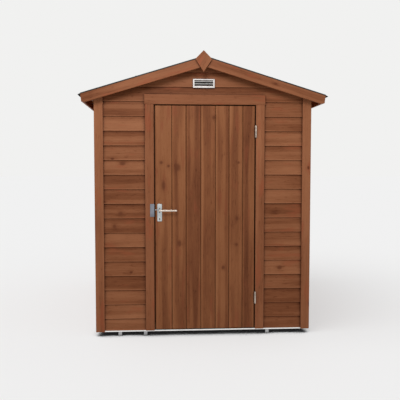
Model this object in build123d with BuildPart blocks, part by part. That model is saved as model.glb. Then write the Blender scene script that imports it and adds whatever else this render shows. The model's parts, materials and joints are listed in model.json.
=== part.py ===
from build123d import *
from math import cos, radians, sin, tan
import os

os.makedirs("parts", exist_ok=True)

# Garden shed with an apex roof, in millimetres
# +Z is up, the door faces -Y, and the origin is on the ground under the middle of the shed

# Body, measured over the boarding
body_width = 1830
body_depth = 2440
side_height = 2086
boarding = 16
stud_depth = 44
stud_width = 28

# Base
foot_height = 35
foot_width = 37
foot_plate = 5
foot_stem = 30
rail_height = 12
rail_width = 40
rail_recess = 4
joist_height = 44
joist_width = 28
floor_thickness = 12
front_foot_places = (-725, -505, 560)
side_foot_reach = 600
joist_count = 5

# Roof
roof_pitch = 17.0
deck_thickness = 12
felt_thickness = 3
eaves_overhang = 105
gable_overhang = 81
drip_reach = 19
drip_drop = 12
ridge_strip_reach = 150
eaves_board_height = 55
eaves_board_thickness = 16
ridge_board_depth = 90
ridge_board_width = 28
purlin_place = 460
purlin_depth = 60
purlin_width = 28

# Bargeboards and finials
barge_thickness = 18
barge_height = 77
barge_reach = 8
barge_end_height = 66
barge_end_lean = 8
barge_clip = 31
finial_thickness = 18
finial_height = 178
finial_width = 142
finial_shoulder = 73
finial_rise = 48
finial_clip = 5
finial_middle = -8

# Corner boards and door casing
corner_board_width = 75
corner_board_thickness = 14
corner_board_drop = 8
casing_width = 75
casing_thickness = 18
casing_head_height = 84
casing_head_lap = 5

# Doorway and door
doorway_middle = 11
doorway_width = 874
doorway_below_eaves = 96
door_gap = 9
door_top_gap = 10
door_bottom = 59
door_recess = 4
door_board_thickness = 16
door_frame_thickness = 28
door_stile_width = 70
door_rail_height = 95
lock_rail_drop = 43
door_brace_width = 70
door_floor_gap = 10
door_stop_width = 22
door_stop_gap = 5

# Hinges
hinge_length = 100
lower_hinge_rise = 266
upper_hinge_drop = 217
knuckle_radius = 7
hinge_pin_radius = 3
hinge_pin_clearance = 0.3
knuckle_gap = 0.4
hinge_leaf_thickness = 2.5
hinge_leaf_depth = 30
hinge_tip_height = 5

# Lock set
spindle_height = 1089
backset = 38
backplate_width = 40
backplate_height = 150
backplate_above_spindle = 56
backplate_thickness = 4
keyhole_drop = 72
keyhole_radius = 4.5
keyhole_slot = 10
lever_length = 156
lever_height = 16
lever_thickness = 11
lever_stand_off = 42
lever_neck_radius = 8
lever_return = 26
spindle_radius = 4
spindle_clearance = 1
latch_tube_radius = 11
latch_tube_length = 30
latch_plate_width = 22
latch_plate_height = 57
latch_plate_thickness = 2
latch_bolt_radius = 6
latch_bolt_length = 28
latch_bolt_reach = 4
latch_clearance = 0.3
latch_seat = 0.1
strike_width = 34
strike_height = 110
strike_above_spindle = 56
strike_thickness = 3
strike_lip_thickness = 1.5
strike_lip_depth = 28

# Vent
vent_width = 185
vent_height = 74
vent_above_casing = 58
vent_thickness = 10
vent_border = 13
vent_slat_count = 2
vent_slat_height = 10
vent_slat_thickness = 3

# Gap between pieces that only lie against each other
seat = 0.3

# Planes and levels that follow from the sizes
half_width = body_width / 2
half_depth = body_depth / 2
slope = tan(radians(roof_pitch))
slope_stretch = 1 / cos(radians(roof_pitch))
base_top = foot_height + rail_height
joist_top = base_top + joist_height
floor_top = joist_top + floor_thickness
deck_under_ridge = side_height + half_width * slope
ridge_top = deck_under_ridge + deck_thickness * slope_stretch
frame_half_width = half_width - boarding
frame_half_depth = half_depth - boarding
room_half_width = frame_half_width - stud_depth
room_half_depth = frame_half_depth - stud_depth
casing_face = half_depth + casing_thickness
door_face = casing_face - door_recess
door_frame_face = door_face - door_board_thickness
door_back = door_frame_face - door_frame_thickness
doorway_top = side_height - doorway_below_eaves
doorway_left = doorway_middle - doorway_width / 2
doorway_right = doorway_middle + doorway_width / 2
door_left = doorway_left + door_gap
door_right = doorway_right - door_gap
door_top = doorway_top - door_top_gap
door_frame_bottom = floor_top + door_floor_gap
hinge_heights = (door_bottom + lower_hinge_rise, door_top - upper_hinge_drop)
deck_end = half_depth + gable_overhang
barge_face = deck_end + barge_thickness
finial_face = barge_face + finial_thickness
deck_edge = half_width + eaves_overhang
barge_end = deck_edge + barge_reach
corner_bottom = base_top - corner_board_drop
vent_middle = doorway_top + casing_head_height + vent_above_casing + vent_height / 2


def deck_under(x):
    """Height of the underside of the roof deck at a distance from the middle."""
    return deck_under_ridge - abs(x) * slope


def deck_top(x):
    """Height of the top of the roof deck at a distance from the middle."""
    return ridge_top - abs(x) * slope


# Base feet: a small plate and a stem, under the cross rails and the side rails
rail_row = half_depth - rail_recess - rail_width / 2
rail_side = half_width - rail_recess - rail_width / 2
foot_places = [(x, y) for x in front_foot_places for y in (-rail_row, 0, rail_row)]
foot_places += [(x, y) for x in (-rail_side, rail_side) for y in (-side_foot_reach, side_foot_reach)]
with BuildPart() as base_feet:
    with BuildSketch(Plane.XY):
        with Locations(*foot_places):
            Rectangle(foot_width, foot_width)
    extrude(amount=foot_plate)
    with BuildSketch(Plane.XY.offset(foot_plate)):
        with Locations(*foot_places):
            Rectangle(foot_stem, foot_stem)
    extrude(amount=foot_height - foot_plate)
base_feet.part.label = "base_feet"
export_step(base_feet.part, "parts/base_feet.step")

# Base rails: front, middle and back rails across, and side rails between them
side_rail_length = rail_row - rail_width - 2 * seat
with BuildPart() as base_rails:
    with BuildSketch(Plane.XY.offset(foot_height)):
        with Locations((0, -rail_row), (0, rail_row)):
            Rectangle(2 * rail_side + rail_width, rail_width)
        with Locations((0, 0)):
            Rectangle(2 * rail_side + rail_width, rail_width)
        with GridLocations(2 * rail_side, rail_row, 2, 2):
            Rectangle(rail_width, side_rail_length)
    extrude(amount=rail_height)
base_rails.part.label = "base_rails"
export_step(base_rails.part, "parts/base_rails.step")

# Floor joists: one across at the front and at the back, the others from front to back between them
joist_run = 2 * (frame_half_depth - joist_width - seat)
joist_spacing = (2 * frame_half_width - joist_width) / (joist_count - 1)
with BuildPart() as floor_joists:
    with BuildSketch(Plane.XY.offset(base_top)):
        with GridLocations(0, 2 * frame_half_depth - joist_width, 1, 2):
            Rectangle(2 * frame_half_width, joist_width)
        with GridLocations(joist_spacing, 0, joist_count, 1):
            Rectangle(joist_width, joist_run)
    extrude(amount=joist_height)
floor_joists.part.label = "floor_joists"
export_step(floor_joists.part, "parts/floor_joists.step")

with BuildPart() as floor_boards:
    with BuildSketch(Plane.XY.offset(joist_top)):
        Rectangle(2 * frame_half_width, 2 * frame_half_depth)
    extrude(amount=floor_thickness)
floor_boards.part.label = "floor_boards"
export_step(floor_boards.part, "parts/floor_boards.step")

# Front wall: boarding beside the doorway, and the gable over it
front_boarding_plane = Plane.XZ.offset(frame_half_depth)
with BuildPart() as front_wall_left:
    with BuildSketch(front_boarding_plane):
        with Locations((-half_width, base_top)):
            Rectangle(doorway_left + half_width, doorway_top - base_top, align=(Align.MIN, Align.MIN))
    extrude(amount=boarding)
front_wall_left.part.label = "front_wall_left"
export_step(front_wall_left.part, "parts/front_wall_left.step")

with BuildPart() as front_wall_right:
    with BuildSketch(front_boarding_plane):
        with Locations((doorway_right, base_top)):
            Rectangle(half_width - doorway_right, doorway_top - base_top, align=(Align.MIN, Align.MIN))
    extrude(amount=boarding)
front_wall_right.part.label = "front_wall_right"
export_step(front_wall_right.part, "parts/front_wall_right.step")

vent_hole_width = vent_width - 2 * vent_border
vent_hole_height = vent_height - 2 * vent_border
with BuildPart() as front_gable:
    with BuildSketch(front_boarding_plane):
        with BuildLine():
            Polyline(
                (-half_width, doorway_top),
                (half_width, doorway_top),
                (half_width, side_height),
                (0, deck_under_ridge),
                (-half_width, side_height),
                close=True,
            )
        make_face()
        with Locations((0, vent_middle)):
            Rectangle(vent_hole_width, vent_hole_height, mode=Mode.SUBTRACT)
    extrude(amount=boarding)
front_gable.part.label = "front_gable"
export_step(front_gable.part, "parts/front_gable.step")

# Back wall: one plain gable wall
with BuildPart() as back_wall:
    with BuildSketch(Plane.XZ.offset(-half_depth)):
        with BuildLine():
            Polyline(
                (-half_width, base_top),
                (half_width, base_top),
                (half_width, side_height),
                (0, deck_under_ridge),
                (-half_width, side_height),
                close=True,
            )
        make_face()
    extrude(amount=boarding)
back_wall.part.label = "back_wall"
export_step(back_wall.part, "parts/back_wall.step")

# Side walls, between the front and back boarding
with BuildPart() as left_wall:
    with BuildSketch(Plane.YZ.offset(-half_width)):
        with Locations((-frame_half_depth, base_top)):
            Rectangle(2 * frame_half_depth, side_height - base_top, align=(Align.MIN, Align.MIN))
    extrude(amount=boarding)
left_wall.part.label = "left_wall"
export_step(left_wall.part, "parts/left_wall.step")

with BuildPart() as right_wall:
    with BuildSketch(Plane.YZ.offset(frame_half_width)):
        with Locations((-frame_half_depth, base_top)):
            Rectangle(2 * frame_half_depth, side_height - base_top, align=(Align.MIN, Align.MIN))
    extrude(amount=boarding)
right_wall.part.label = "right_wall"
export_step(right_wall.part, "parts/right_wall.step")

# Framing of the side walls: plates above and below the studs
plate_top = floor_top + stud_width
side_stud_height = side_height - stud_width - plate_top - 2 * seat
side_stud_count = 5
side_frame_length = 2 * (room_half_depth - seat)
side_stud_spacing = (side_frame_length - stud_width) / (side_stud_count - 1)
with BuildPart() as left_wall_frame:
    with BuildSketch(Plane.YZ.offset(-frame_half_width)):
        with Locations((0, floor_top + stud_width / 2), (0, side_height - stud_width / 2)):
            Rectangle(side_frame_length, stud_width)
        with Locations((0, plate_top + seat + side_stud_height / 2)):
            with GridLocations(side_stud_spacing, 0, side_stud_count, 1):
                Rectangle(stud_width, side_stud_height)
    extrude(amount=stud_depth)
left_wall_frame.part.label = "left_wall_frame"
export_step(left_wall_frame.part, "parts/left_wall_frame.step")

with BuildPart() as right_wall_frame:
    add(left_wall_frame.part.mirror(Plane.YZ))
right_wall_frame.part.label = "right_wall_frame"
export_step(right_wall_frame.part, "parts/right_wall_frame.step")

# Framing of the gable walls: rails under the roof, a tie at the eaves, studs and plates
rafter_drop = stud_width * slope_stretch
tie_top = side_height - rafter_drop - seat
tie_under = tie_top - stud_width
front_tie_under = doorway_top
front_tie_top = front_tie_under + stud_width


def rafter_outline(side):
    """Corners of the rail under one roof slope, in the plane of the gable."""
    inner = side * seat
    outer = side * frame_half_width
    return (
        (inner, deck_under(inner)),
        (outer, deck_under(outer)),
        (outer, deck_under(outer) - rafter_drop),
        (inner, deck_under(inner) - rafter_drop),
    )


back_stud_places = (-frame_half_width + stud_width / 2, -300, 300, frame_half_width - stud_width / 2)
back_stud_height = tie_under - plate_top - 2 * seat
with BuildPart() as back_wall_frame:
    with BuildSketch(Plane.XZ.offset(-frame_half_depth)):
        with Locations((0, floor_top + stud_width / 2), (0, tie_under + stud_width / 2)):
            Rectangle(2 * frame_half_width, stud_width)
        for stud_place in back_stud_places:
            with Locations((stud_place, plate_top + seat + back_stud_height / 2)):
                Rectangle(stud_width, back_stud_height)
        for slope_side in (-1, 1):
            with BuildLine():
                Polyline(*rafter_outline(slope_side), close=True)
            make_face()
    extrude(amount=stud_depth)
back_wall_frame.part.label = "back_wall_frame"
export_step(back_wall_frame.part, "parts/back_wall_frame.step")

# The front framing leaves the doorway open: a post on each side of it and a tie over it
post_height = front_tie_under - floor_top - seat
corner_stud_place = frame_half_width - stud_width / 2
left_plate_length = doorway_left - stud_width + frame_half_width - stud_width - 2 * seat
right_plate_length = frame_half_width - stud_width - doorway_right - stud_width - 2 * seat
with BuildPart() as front_wall_frame:
    with BuildSketch(Plane.XZ.offset(room_half_depth)):
        for post_place in (
            -corner_stud_place,
            doorway_left - stud_width / 2,
            doorway_right + stud_width / 2,
            corner_stud_place,
        ):
            with Locations((post_place, floor_top + post_height / 2)):
                Rectangle(stud_width, post_height)
        with Locations((-frame_half_width + stud_width + seat, floor_top)):
            Rectangle(left_plate_length, stud_width, align=(Align.MIN, Align.MIN))
        with Locations((doorway_right + stud_width + seat, floor_top)):
            Rectangle(right_plate_length, stud_width, align=(Align.MIN, Align.MIN))
        with Locations((0, front_tie_under + stud_width / 2)):
            Rectangle(2 * frame_half_width, stud_width)
        for slope_side in (-1, 1):
            with BuildLine():
                Polyline(*rafter_outline(slope_side), close=True)
            make_face()
    extrude(amount=stud_depth)
front_wall_frame.part.label = "front_wall_frame"
export_step(front_wall_frame.part, "parts/front_wall_frame.step")

# Corner boards on the front and back faces, cut to the roof slope at the top
corner_outer = half_width + corner_board_thickness
corner_inner = corner_outer - corner_board_width
with BuildPart() as corner_boards:
    for face_start in (half_depth, -half_depth - corner_board_thickness):
        with BuildSketch(Plane.XZ.offset(face_start)):
            for side in (-1, 1):
                with BuildLine():
                    Polyline(
                        (side * corner_inner, corner_bottom),
                        (side * corner_outer, corner_bottom),
                        (side * corner_outer, deck_under(corner_outer)),
                        (side * corner_inner, deck_under(corner_inner)),
                        close=True,
                    )
                make_face()
        extrude(amount=corner_board_thickness)
corner_boards.part.label = "corner_boards"
export_step(corner_boards.part, "parts/corner_boards.step")

# Corner boards on the side faces
side_corner_height = deck_under(corner_outer) - corner_bottom
with BuildPart() as side_corner_boards:
    for face_start in (-corner_outer, half_width):
        with BuildSketch(Plane.YZ.offset(face_start)):
            with Locations((0, corner_bottom + side_corner_height / 2)):
                with GridLocations(body_depth - corner_board_width, 0, 2, 1):
                    Rectangle(corner_board_width, side_corner_height)
        extrude(amount=corner_board_thickness)
side_corner_boards.part.label = "side_corner_boards"
export_step(side_corner_boards.part, "parts/side_corner_boards.step")

# Door casing on the face of the front boarding
casing_plane = Plane.XZ.offset(half_depth)
with BuildPart() as door_casing_left:
    with BuildSketch(casing_plane):
        with Locations((doorway_left - casing_width, base_top)):
            Rectangle(casing_width, doorway_top - base_top, align=(Align.MIN, Align.MIN))
    extrude(amount=casing_thickness)
door_casing_left.part.label = "door_casing_left"
export_step(door_casing_left.part, "parts/door_casing_left.step")

with BuildPart() as door_casing_right:
    with BuildSketch(casing_plane):
        with Locations((doorway_right, base_top)):
            Rectangle(casing_width, doorway_top - base_top, align=(Align.MIN, Align.MIN))
    extrude(amount=casing_thickness)
door_casing_right.part.label = "door_casing_right"
export_step(door_casing_right.part, "parts/door_casing_right.step")

casing_head_length = doorway_width + 2 * (casing_width + casing_head_lap)
with BuildPart() as door_casing_head:
    with BuildSketch(casing_plane):
        with Locations((doorway_middle, doorway_top + casing_head_height / 2)):
            Rectangle(casing_head_length, casing_head_height)
    extrude(amount=casing_thickness)
door_casing_head.part.label = "door_casing_head"
export_step(door_casing_head.part, "parts/door_casing_head.step")

# Door stops on the inside of the posts and under the tie, behind the closed door
door_stop_depth = door_back - door_stop_gap - room_half_depth
side_stop_height = doorway_top - door_stop_width - seat - floor_top
with BuildPart() as door_stops:
    with BuildSketch(Plane.XZ.offset(room_half_depth)):
        with Locations((doorway_left, floor_top)):
            Rectangle(door_stop_width, side_stop_height, align=(Align.MIN, Align.MIN))
        with Locations((doorway_right, floor_top)):
            Rectangle(door_stop_width, side_stop_height, align=(Align.MAX, Align.MIN))
        with Locations((doorway_middle, doorway_top)):
            Rectangle(doorway_width, door_stop_width, align=(Align.CENTER, Align.MAX))
    extrude(amount=door_stop_depth)
door_stops.part.label = "door_stops"
export_step(door_stops.part, "parts/door_stops.step")

# Roof carriers between the gable frames: the ridge board and a purlin under each slope
carrier_length = 2 * (room_half_depth - seat)
ridge_board_top = deck_under(ridge_board_width / 2)
purlin_top = deck_under(purlin_place)
with BuildPart() as roof_carriers:
    with BuildSketch(Plane.XZ.offset(-carrier_length / 2)):
        with Locations((0, ridge_board_top)):
            Rectangle(ridge_board_width, ridge_board_depth, align=(Align.CENTER, Align.MAX))
        for side in (-1, 1):
            with Locations(Location((side * purlin_place, purlin_top), -side * roof_pitch)):
                Rectangle(purlin_width, purlin_depth, align=(Align.CENTER, Align.MAX))
    extrude(amount=carrier_length)
roof_carriers.part.label = "roof_carriers"
export_step(roof_carriers.part, "parts/roof_carriers.step")


def slope_outline(side, start, end, lower, rise):
    """Corners of a board or sheet that lies along one roof slope."""
    return (
        (side * start, lower(start)),
        (side * end, lower(end)),
        (side * end, lower(end) + rise),
        (side * start, lower(start) + rise),
    )


deck_rise = deck_thickness * slope_stretch
felt_rise = felt_thickness * slope_stretch
with BuildPart() as roof_deck_left:
    with BuildSketch(Plane.XZ.offset(-deck_end)):
        with BuildLine():
            Polyline(*slope_outline(-1, 0, deck_edge, deck_under, deck_rise), close=True)
        make_face()
    extrude(amount=2 * deck_end)
roof_deck_left.part.label = "roof_deck_left"
export_step(roof_deck_left.part, "parts/roof_deck_left.step")

with BuildPart() as roof_deck_right:
    with BuildSketch(Plane.XZ.offset(-deck_end)):
        with BuildLine():
            Polyline(*slope_outline(1, 0, deck_edge, deck_under, deck_rise), close=True)
        make_face()
    extrude(amount=2 * deck_end)
roof_deck_right.part.label = "roof_deck_right"
export_step(roof_deck_right.part, "parts/roof_deck_right.step")


# Felt: a sheet over the deck and the bargeboards that turns down as a drip past the eaves
def felt_outline(side):
    """Corners of the felt of one slope, with its drip."""
    bend = barge_end + seat
    drip_angle = radians(45 + roof_pitch / 2)
    return (
        (0, deck_top(0)),
        (side * bend, deck_top(bend)),
        (side * (bend + drip_reach), deck_top(bend) - drip_drop),
        (
            side * (bend + drip_reach + felt_thickness * sin(drip_angle)),
            deck_top(bend) - drip_drop + felt_thickness * cos(drip_angle),
        ),
        (side * (bend + felt_thickness * slope), deck_top(bend + felt_thickness * slope) + felt_rise),
        (0, deck_top(0) + felt_rise),
    )


with BuildPart() as roof_felt_left:
    with BuildSketch(Plane.XZ.offset(-barge_face)):
        with BuildLine():
            Polyline(*felt_outline(-1), close=True)
        make_face()
    extrude(amount=2 * barge_face)
roof_felt_left.part.label = "roof_felt_left"
export_step(roof_felt_left.part, "parts/roof_felt_left.step")

with BuildPart() as roof_felt_right:
    with BuildSketch(Plane.XZ.offset(-barge_face)):
        with BuildLine():
            Polyline(*felt_outline(1), close=True)
        make_face()
    extrude(amount=2 * barge_face)
roof_felt_right.part.label = "roof_felt_right"
export_step(roof_felt_right.part, "parts/roof_felt_right.step")

felt_top = ridge_top + felt_rise
with BuildPart() as ridge_strip:
    with BuildSketch(Plane.XZ.offset(-barge_face)):
        with BuildLine():
            Polyline(
                (0, felt_top),
                (ridge_strip_reach, felt_top - ridge_strip_reach * slope),
                (ridge_strip_reach, felt_top - ridge_strip_reach * slope + felt_rise),
                (0, felt_top + felt_rise),
                (-ridge_strip_reach, felt_top - ridge_strip_reach * slope + felt_rise),
                (-ridge_strip_reach, felt_top - ridge_strip_reach * slope),
                close=True,
            )
        make_face()
    extrude(amount=2 * barge_face)
ridge_strip.part.label = "ridge_strip"
export_step(ridge_strip.part, "parts/ridge_strip.step")


# Eaves boards along the lower edges of the deck, bevelled to its underside
def eaves_board_outline(side):
    """Corners of an eaves board in the plane of the gable."""
    inner = deck_edge - eaves_board_thickness
    bottom = deck_under(deck_edge) - eaves_board_height
    return (
        (side * inner, bottom),
        (side * deck_edge, bottom),
        (side * deck_edge, deck_under(deck_edge)),
        (side * inner, deck_under(inner)),
    )


with BuildPart() as eaves_board_left:
    with BuildSketch(Plane.XZ.offset(-deck_end)):
        with BuildLine():
            Polyline(*eaves_board_outline(-1), close=True)
        make_face()
    extrude(amount=2 * deck_end)
eaves_board_left.part.label = "eaves_board_left"
export_step(eaves_board_left.part, "parts/eaves_board_left.step")

with BuildPart() as eaves_board_right:
    with BuildSketch(Plane.XZ.offset(-deck_end)):
        with BuildLine():
            Polyline(*eaves_board_outline(1), close=True)
        make_face()
    extrude(amount=2 * deck_end)
eaves_board_right.part.label = "eaves_board_right"
export_step(eaves_board_right.part, "parts/eaves_board_right.step")


# Bargeboards: plumb cut at the ridge, and a clipped lower corner at the eaves
def barge_outline(side):
    """Corners of a bargeboard in the plane of the gable."""
    drop = barge_height * slope_stretch
    foot = barge_end - barge_end_lean
    clip = foot - barge_clip
    return (
        (0, deck_top(0)),
        (side * barge_end, deck_top(barge_end)),
        (side * foot, deck_top(barge_end) - barge_end_height),
        (side * clip, deck_top(clip) - drop),
        (0, deck_top(0) - drop),
    )


with BuildPart() as bargeboard_front_left:
    with BuildSketch(Plane.XZ.offset(deck_end)):
        with BuildLine():
            Polyline(*barge_outline(-1), close=True)
        make_face()
    extrude(amount=barge_thickness)
bargeboard_front_left.part.label = "bargeboard_front_left"
export_step(bargeboard_front_left.part, "parts/bargeboard_front_left.step")

with BuildPart() as bargeboard_front_right:
    with BuildSketch(Plane.XZ.offset(deck_end)):
        with BuildLine():
            Polyline(*barge_outline(1), close=True)
        make_face()
    extrude(amount=barge_thickness)
bargeboard_front_right.part.label = "bargeboard_front_right"
export_step(bargeboard_front_right.part, "parts/bargeboard_front_right.step")

with BuildPart() as bargeboard_back_left:
    add(bargeboard_front_left.part.mirror(Plane.XZ))
bargeboard_back_left.part.label = "bargeboard_back_left"
export_step(bargeboard_back_left.part, "parts/bargeboard_back_left.step")

with BuildPart() as bargeboard_back_right:
    add(bargeboard_front_right.part.mirror(Plane.XZ))
bargeboard_back_right.part.label = "bargeboard_back_right"
export_step(bargeboard_back_right.part, "parts/bargeboard_back_right.step")

# Finials: a diamond over the joint of the bargeboards, with blunt side corners
finial_top = ridge_top + finial_rise
shoulder_height = finial_top - finial_shoulder
finial_half = finial_width / 2
upper_clip = finial_clip * finial_shoulder / finial_half
lower_clip = finial_clip * (finial_height - finial_shoulder) / finial_half
finial_plane = Plane(origin=(finial_middle, -barge_face, 0), x_dir=(1, 0, 0), z_dir=(0, -1, 0))
with BuildPart() as finial_front:
    with BuildSketch(finial_plane):
        with BuildLine():
            Polyline(
                (0, finial_top),
                (finial_half - finial_clip, shoulder_height + upper_clip),
                (finial_half - finial_clip, shoulder_height - lower_clip),
                (0, finial_top - finial_height),
                (finial_clip - finial_half, shoulder_height - lower_clip),
                (finial_clip - finial_half, shoulder_height + upper_clip),
                close=True,
            )
        make_face()
    extrude(amount=finial_thickness)
finial_front.part.label = "finial_front"
export_step(finial_front.part, "parts/finial_front.step")

with BuildPart() as finial_back:
    add(finial_front.part.mirror(Plane.XZ))
finial_back.part.label = "finial_back"
export_step(finial_back.part, "parts/finial_back.step")

# Vent in the front gable: a frame and slanted slats in it
slat_pitch = (vent_hole_height + vent_slat_height) / (vent_slat_count + 1)
with BuildPart() as vent_frame:
    with BuildSketch(casing_plane):
        with Locations((0, vent_middle)):
            Rectangle(vent_width, vent_height)
            Rectangle(vent_hole_width, vent_hole_height, mode=Mode.SUBTRACT)
    extrude(amount=vent_thickness)
vent_frame.part.label = "vent_frame"
export_step(vent_frame.part, "parts/vent_frame.step")

with BuildPart() as vent_slats:
    with BuildSketch(Plane.YZ.offset(-vent_hole_width / 2)):
        with Locations((-half_depth - vent_thickness / 2, vent_middle)):
            with GridLocations(0, slat_pitch, 1, vent_slat_count):
                Rectangle(vent_slat_height, vent_slat_thickness, rotation=45)
    extrude(amount=vent_hole_width)
vent_slats.part.label = "vent_slats"
export_step(vent_slats.part, "parts/vent_slats.step")

# Door: the boards, with a hole for the spindle
spindle_place = door_left + backset
latch_depth = door_frame_face - door_frame_thickness / 2
with BuildPart() as door_boards:
    with BuildSketch(Plane.XZ.offset(door_frame_face)):
        with Locations((door_left, door_bottom)):
            Rectangle(door_right - door_left, door_top - door_bottom, align=(Align.MIN, Align.MIN))
        with Locations((spindle_place, spindle_height)):
            Circle(spindle_radius + spindle_clearance, mode=Mode.SUBTRACT)
    extrude(amount=door_board_thickness)
door_boards.part.label = "door_boards"
export_step(door_boards.part, "parts/door_boards.step")

# Stiles behind the boards: the left one is bored for the spindle and the latch
stile_height = door_top - door_frame_bottom
latch_plane = Plane(origin=(door_left, -latch_depth, spindle_height), x_dir=(0, 1, 0), z_dir=(1, 0, 0))
with BuildPart() as door_stiles:
    with BuildSketch(Plane.XZ.offset(door_back)):
        with Locations((door_left, door_frame_bottom)):
            Rectangle(door_stile_width, stile_height, align=(Align.MIN, Align.MIN))
        with Locations((door_right, door_frame_bottom)):
            Rectangle(door_stile_width, stile_height, align=(Align.MAX, Align.MIN))
        with Locations((spindle_place, spindle_height)):
            Circle(spindle_radius + spindle_clearance, mode=Mode.SUBTRACT)
    extrude(amount=door_frame_thickness)
    with BuildSketch(latch_plane):
        Circle(latch_tube_radius + latch_seat)
    extrude(amount=latch_tube_length, mode=Mode.SUBTRACT)
    with BuildSketch(latch_plane):
        Rectangle(latch_plate_width, latch_plate_height)
    extrude(amount=latch_plate_thickness, mode=Mode.SUBTRACT)
door_stiles.part.label = "door_stiles"
export_step(door_stiles.part, "parts/door_stiles.step")

# Rails between the stiles: bottom, middle and top
rail_start = door_left + door_stile_width + seat
rail_end = door_right - door_stile_width - seat
rail_length = rail_end - rail_start
rail_middle = (rail_start + rail_end) / 2
middle_rail_height = spindle_height - lock_rail_drop
door_rail_places = (
    door_frame_bottom + door_rail_height / 2,
    middle_rail_height,
    door_top - door_rail_height / 2,
)
with BuildPart() as door_rails:
    with BuildSketch(Plane.XZ.offset(door_back)):
        for rail_place in door_rail_places:
            with Locations((rail_middle, rail_place)):
                Rectangle(rail_length, door_rail_height)
    extrude(amount=door_frame_thickness)
door_rails.part.label = "door_rails"
export_step(door_rails.part, "parts/door_rails.step")


# Braces: each rises from the hinge side at a lower rail to the lock side at the rail above
def brace_outline(lower_rail, upper_rail):
    """Corners of a brace between two rails, in the plane of the door."""
    low = lower_rail + door_rail_height / 2 + seat
    high = upper_rail - door_rail_height / 2 - seat
    return (
        (rail_end, low),
        (rail_end, low + door_brace_width),
        (rail_start + door_brace_width, high),
        (rail_start, high),
        (rail_start, high - door_brace_width),
        (rail_end - door_brace_width, low),
    )


with BuildPart() as door_braces:
    with BuildSketch(Plane.XZ.offset(door_back)):
        for lower_rail, upper_rail in zip(door_rail_places, door_rail_places[1:]):
            with BuildLine():
                Polyline(*brace_outline(lower_rail, upper_rail), close=True)
            make_face()
    extrude(amount=door_frame_thickness)
door_braces.part.label = "door_braces"
export_step(door_braces.part, "parts/door_braces.step")

# Hinges: the frame leaf carries the outer knuckles and the pin, the door leaf the middle knuckle
hinge_axis = (doorway_right - 1, -casing_face - knuckle_radius - seat)
knuckle_height = (hinge_length - 2 * knuckle_gap) / 3
leaf_front = -casing_face
with BuildPart() as hinge_frame_leaves:
    for hinge_height in hinge_heights:
        hinge_bottom = hinge_height - hinge_length / 2
        with BuildSketch(Plane.XY.offset(hinge_bottom)):
            with Locations((doorway_right, leaf_front)):
                Rectangle(hinge_leaf_thickness, hinge_leaf_depth, align=(Align.MAX, Align.MIN))
        extrude(amount=hinge_length)
        for knuckle_start in (hinge_bottom, hinge_bottom + hinge_length - knuckle_height):
            with BuildSketch(Plane.XY.offset(knuckle_start)):
                with Locations(hinge_axis):
                    Circle(knuckle_radius)
                with Locations((doorway_right, hinge_axis[1])):
                    Rectangle(hinge_leaf_thickness, leaf_front - hinge_axis[1] + seat, align=(Align.MAX, Align.MIN))
            extrude(amount=knuckle_height)
        with BuildSketch(Plane.XY.offset(hinge_bottom - hinge_tip_height)):
            with Locations(hinge_axis):
                Circle(hinge_pin_radius)
        extrude(amount=hinge_length + 2 * hinge_tip_height)
hinge_frame_leaves.part.label = "hinge_frame_leaves"
export_step(hinge_frame_leaves.part, "parts/hinge_frame_leaves.step")

with BuildPart() as hinge_door_leaves:
    for hinge_height in hinge_heights:
        hinge_bottom = hinge_height - hinge_length / 2
        with BuildSketch(Plane.XY.offset(hinge_bottom)):
            with Locations((door_right, leaf_front)):
                Rectangle(hinge_leaf_thickness, hinge_leaf_depth, align=(Align.MIN, Align.MIN))
        extrude(amount=hinge_length)
        with BuildSketch(Plane.XY.offset(hinge_bottom + knuckle_height + knuckle_gap)):
            with Locations(hinge_axis):
                Circle(knuckle_radius)
            with Locations((door_right, hinge_axis[1])):
                Rectangle(hinge_leaf_thickness, leaf_front - hinge_axis[1] + seat, align=(Align.MIN, Align.MIN))
            with Locations(hinge_axis):
                Circle(hinge_pin_radius + hinge_pin_clearance, mode=Mode.SUBTRACT)
        extrude(amount=knuckle_height)
hinge_door_leaves.part.label = "hinge_door_leaves"
export_step(hinge_door_leaves.part, "parts/hinge_door_leaves.step")

# Lock set: a backplate with a keyhole on each face of the door
backplate_middle = spindle_height + backplate_above_spindle - backplate_height / 2
with BuildPart() as outer_backplate:
    with BuildSketch(Plane.XZ.offset(door_face)):
        with Locations((spindle_place, backplate_middle)):
            RectangleRounded(backplate_width, backplate_height, backplate_width / 6)
        with Locations((spindle_place, spindle_height)):
            Circle(spindle_radius + spindle_clearance, mode=Mode.SUBTRACT)
        with Locations((spindle_place, spindle_height - keyhole_drop)):
            Circle(keyhole_radius, mode=Mode.SUBTRACT)
            Rectangle(keyhole_radius, keyhole_slot, align=(Align.CENTER, Align.MAX), mode=Mode.SUBTRACT)
    extrude(amount=backplate_thickness)
    chamfer(outer_backplate.faces().sort_by(Axis.Y)[0].outer_wire().edges(), backplate_thickness / 4)
outer_backplate.part.label = "outer_backplate"
export_step(outer_backplate.part, "parts/outer_backplate.step")

door_middle_plane = Plane.XZ.offset((door_face + door_back) / 2)
with BuildPart() as inner_backplate:
    add(outer_backplate.part.mirror(door_middle_plane))
inner_backplate.part.label = "inner_backplate"
export_step(inner_backplate.part, "parts/inner_backplate.step")

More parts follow.
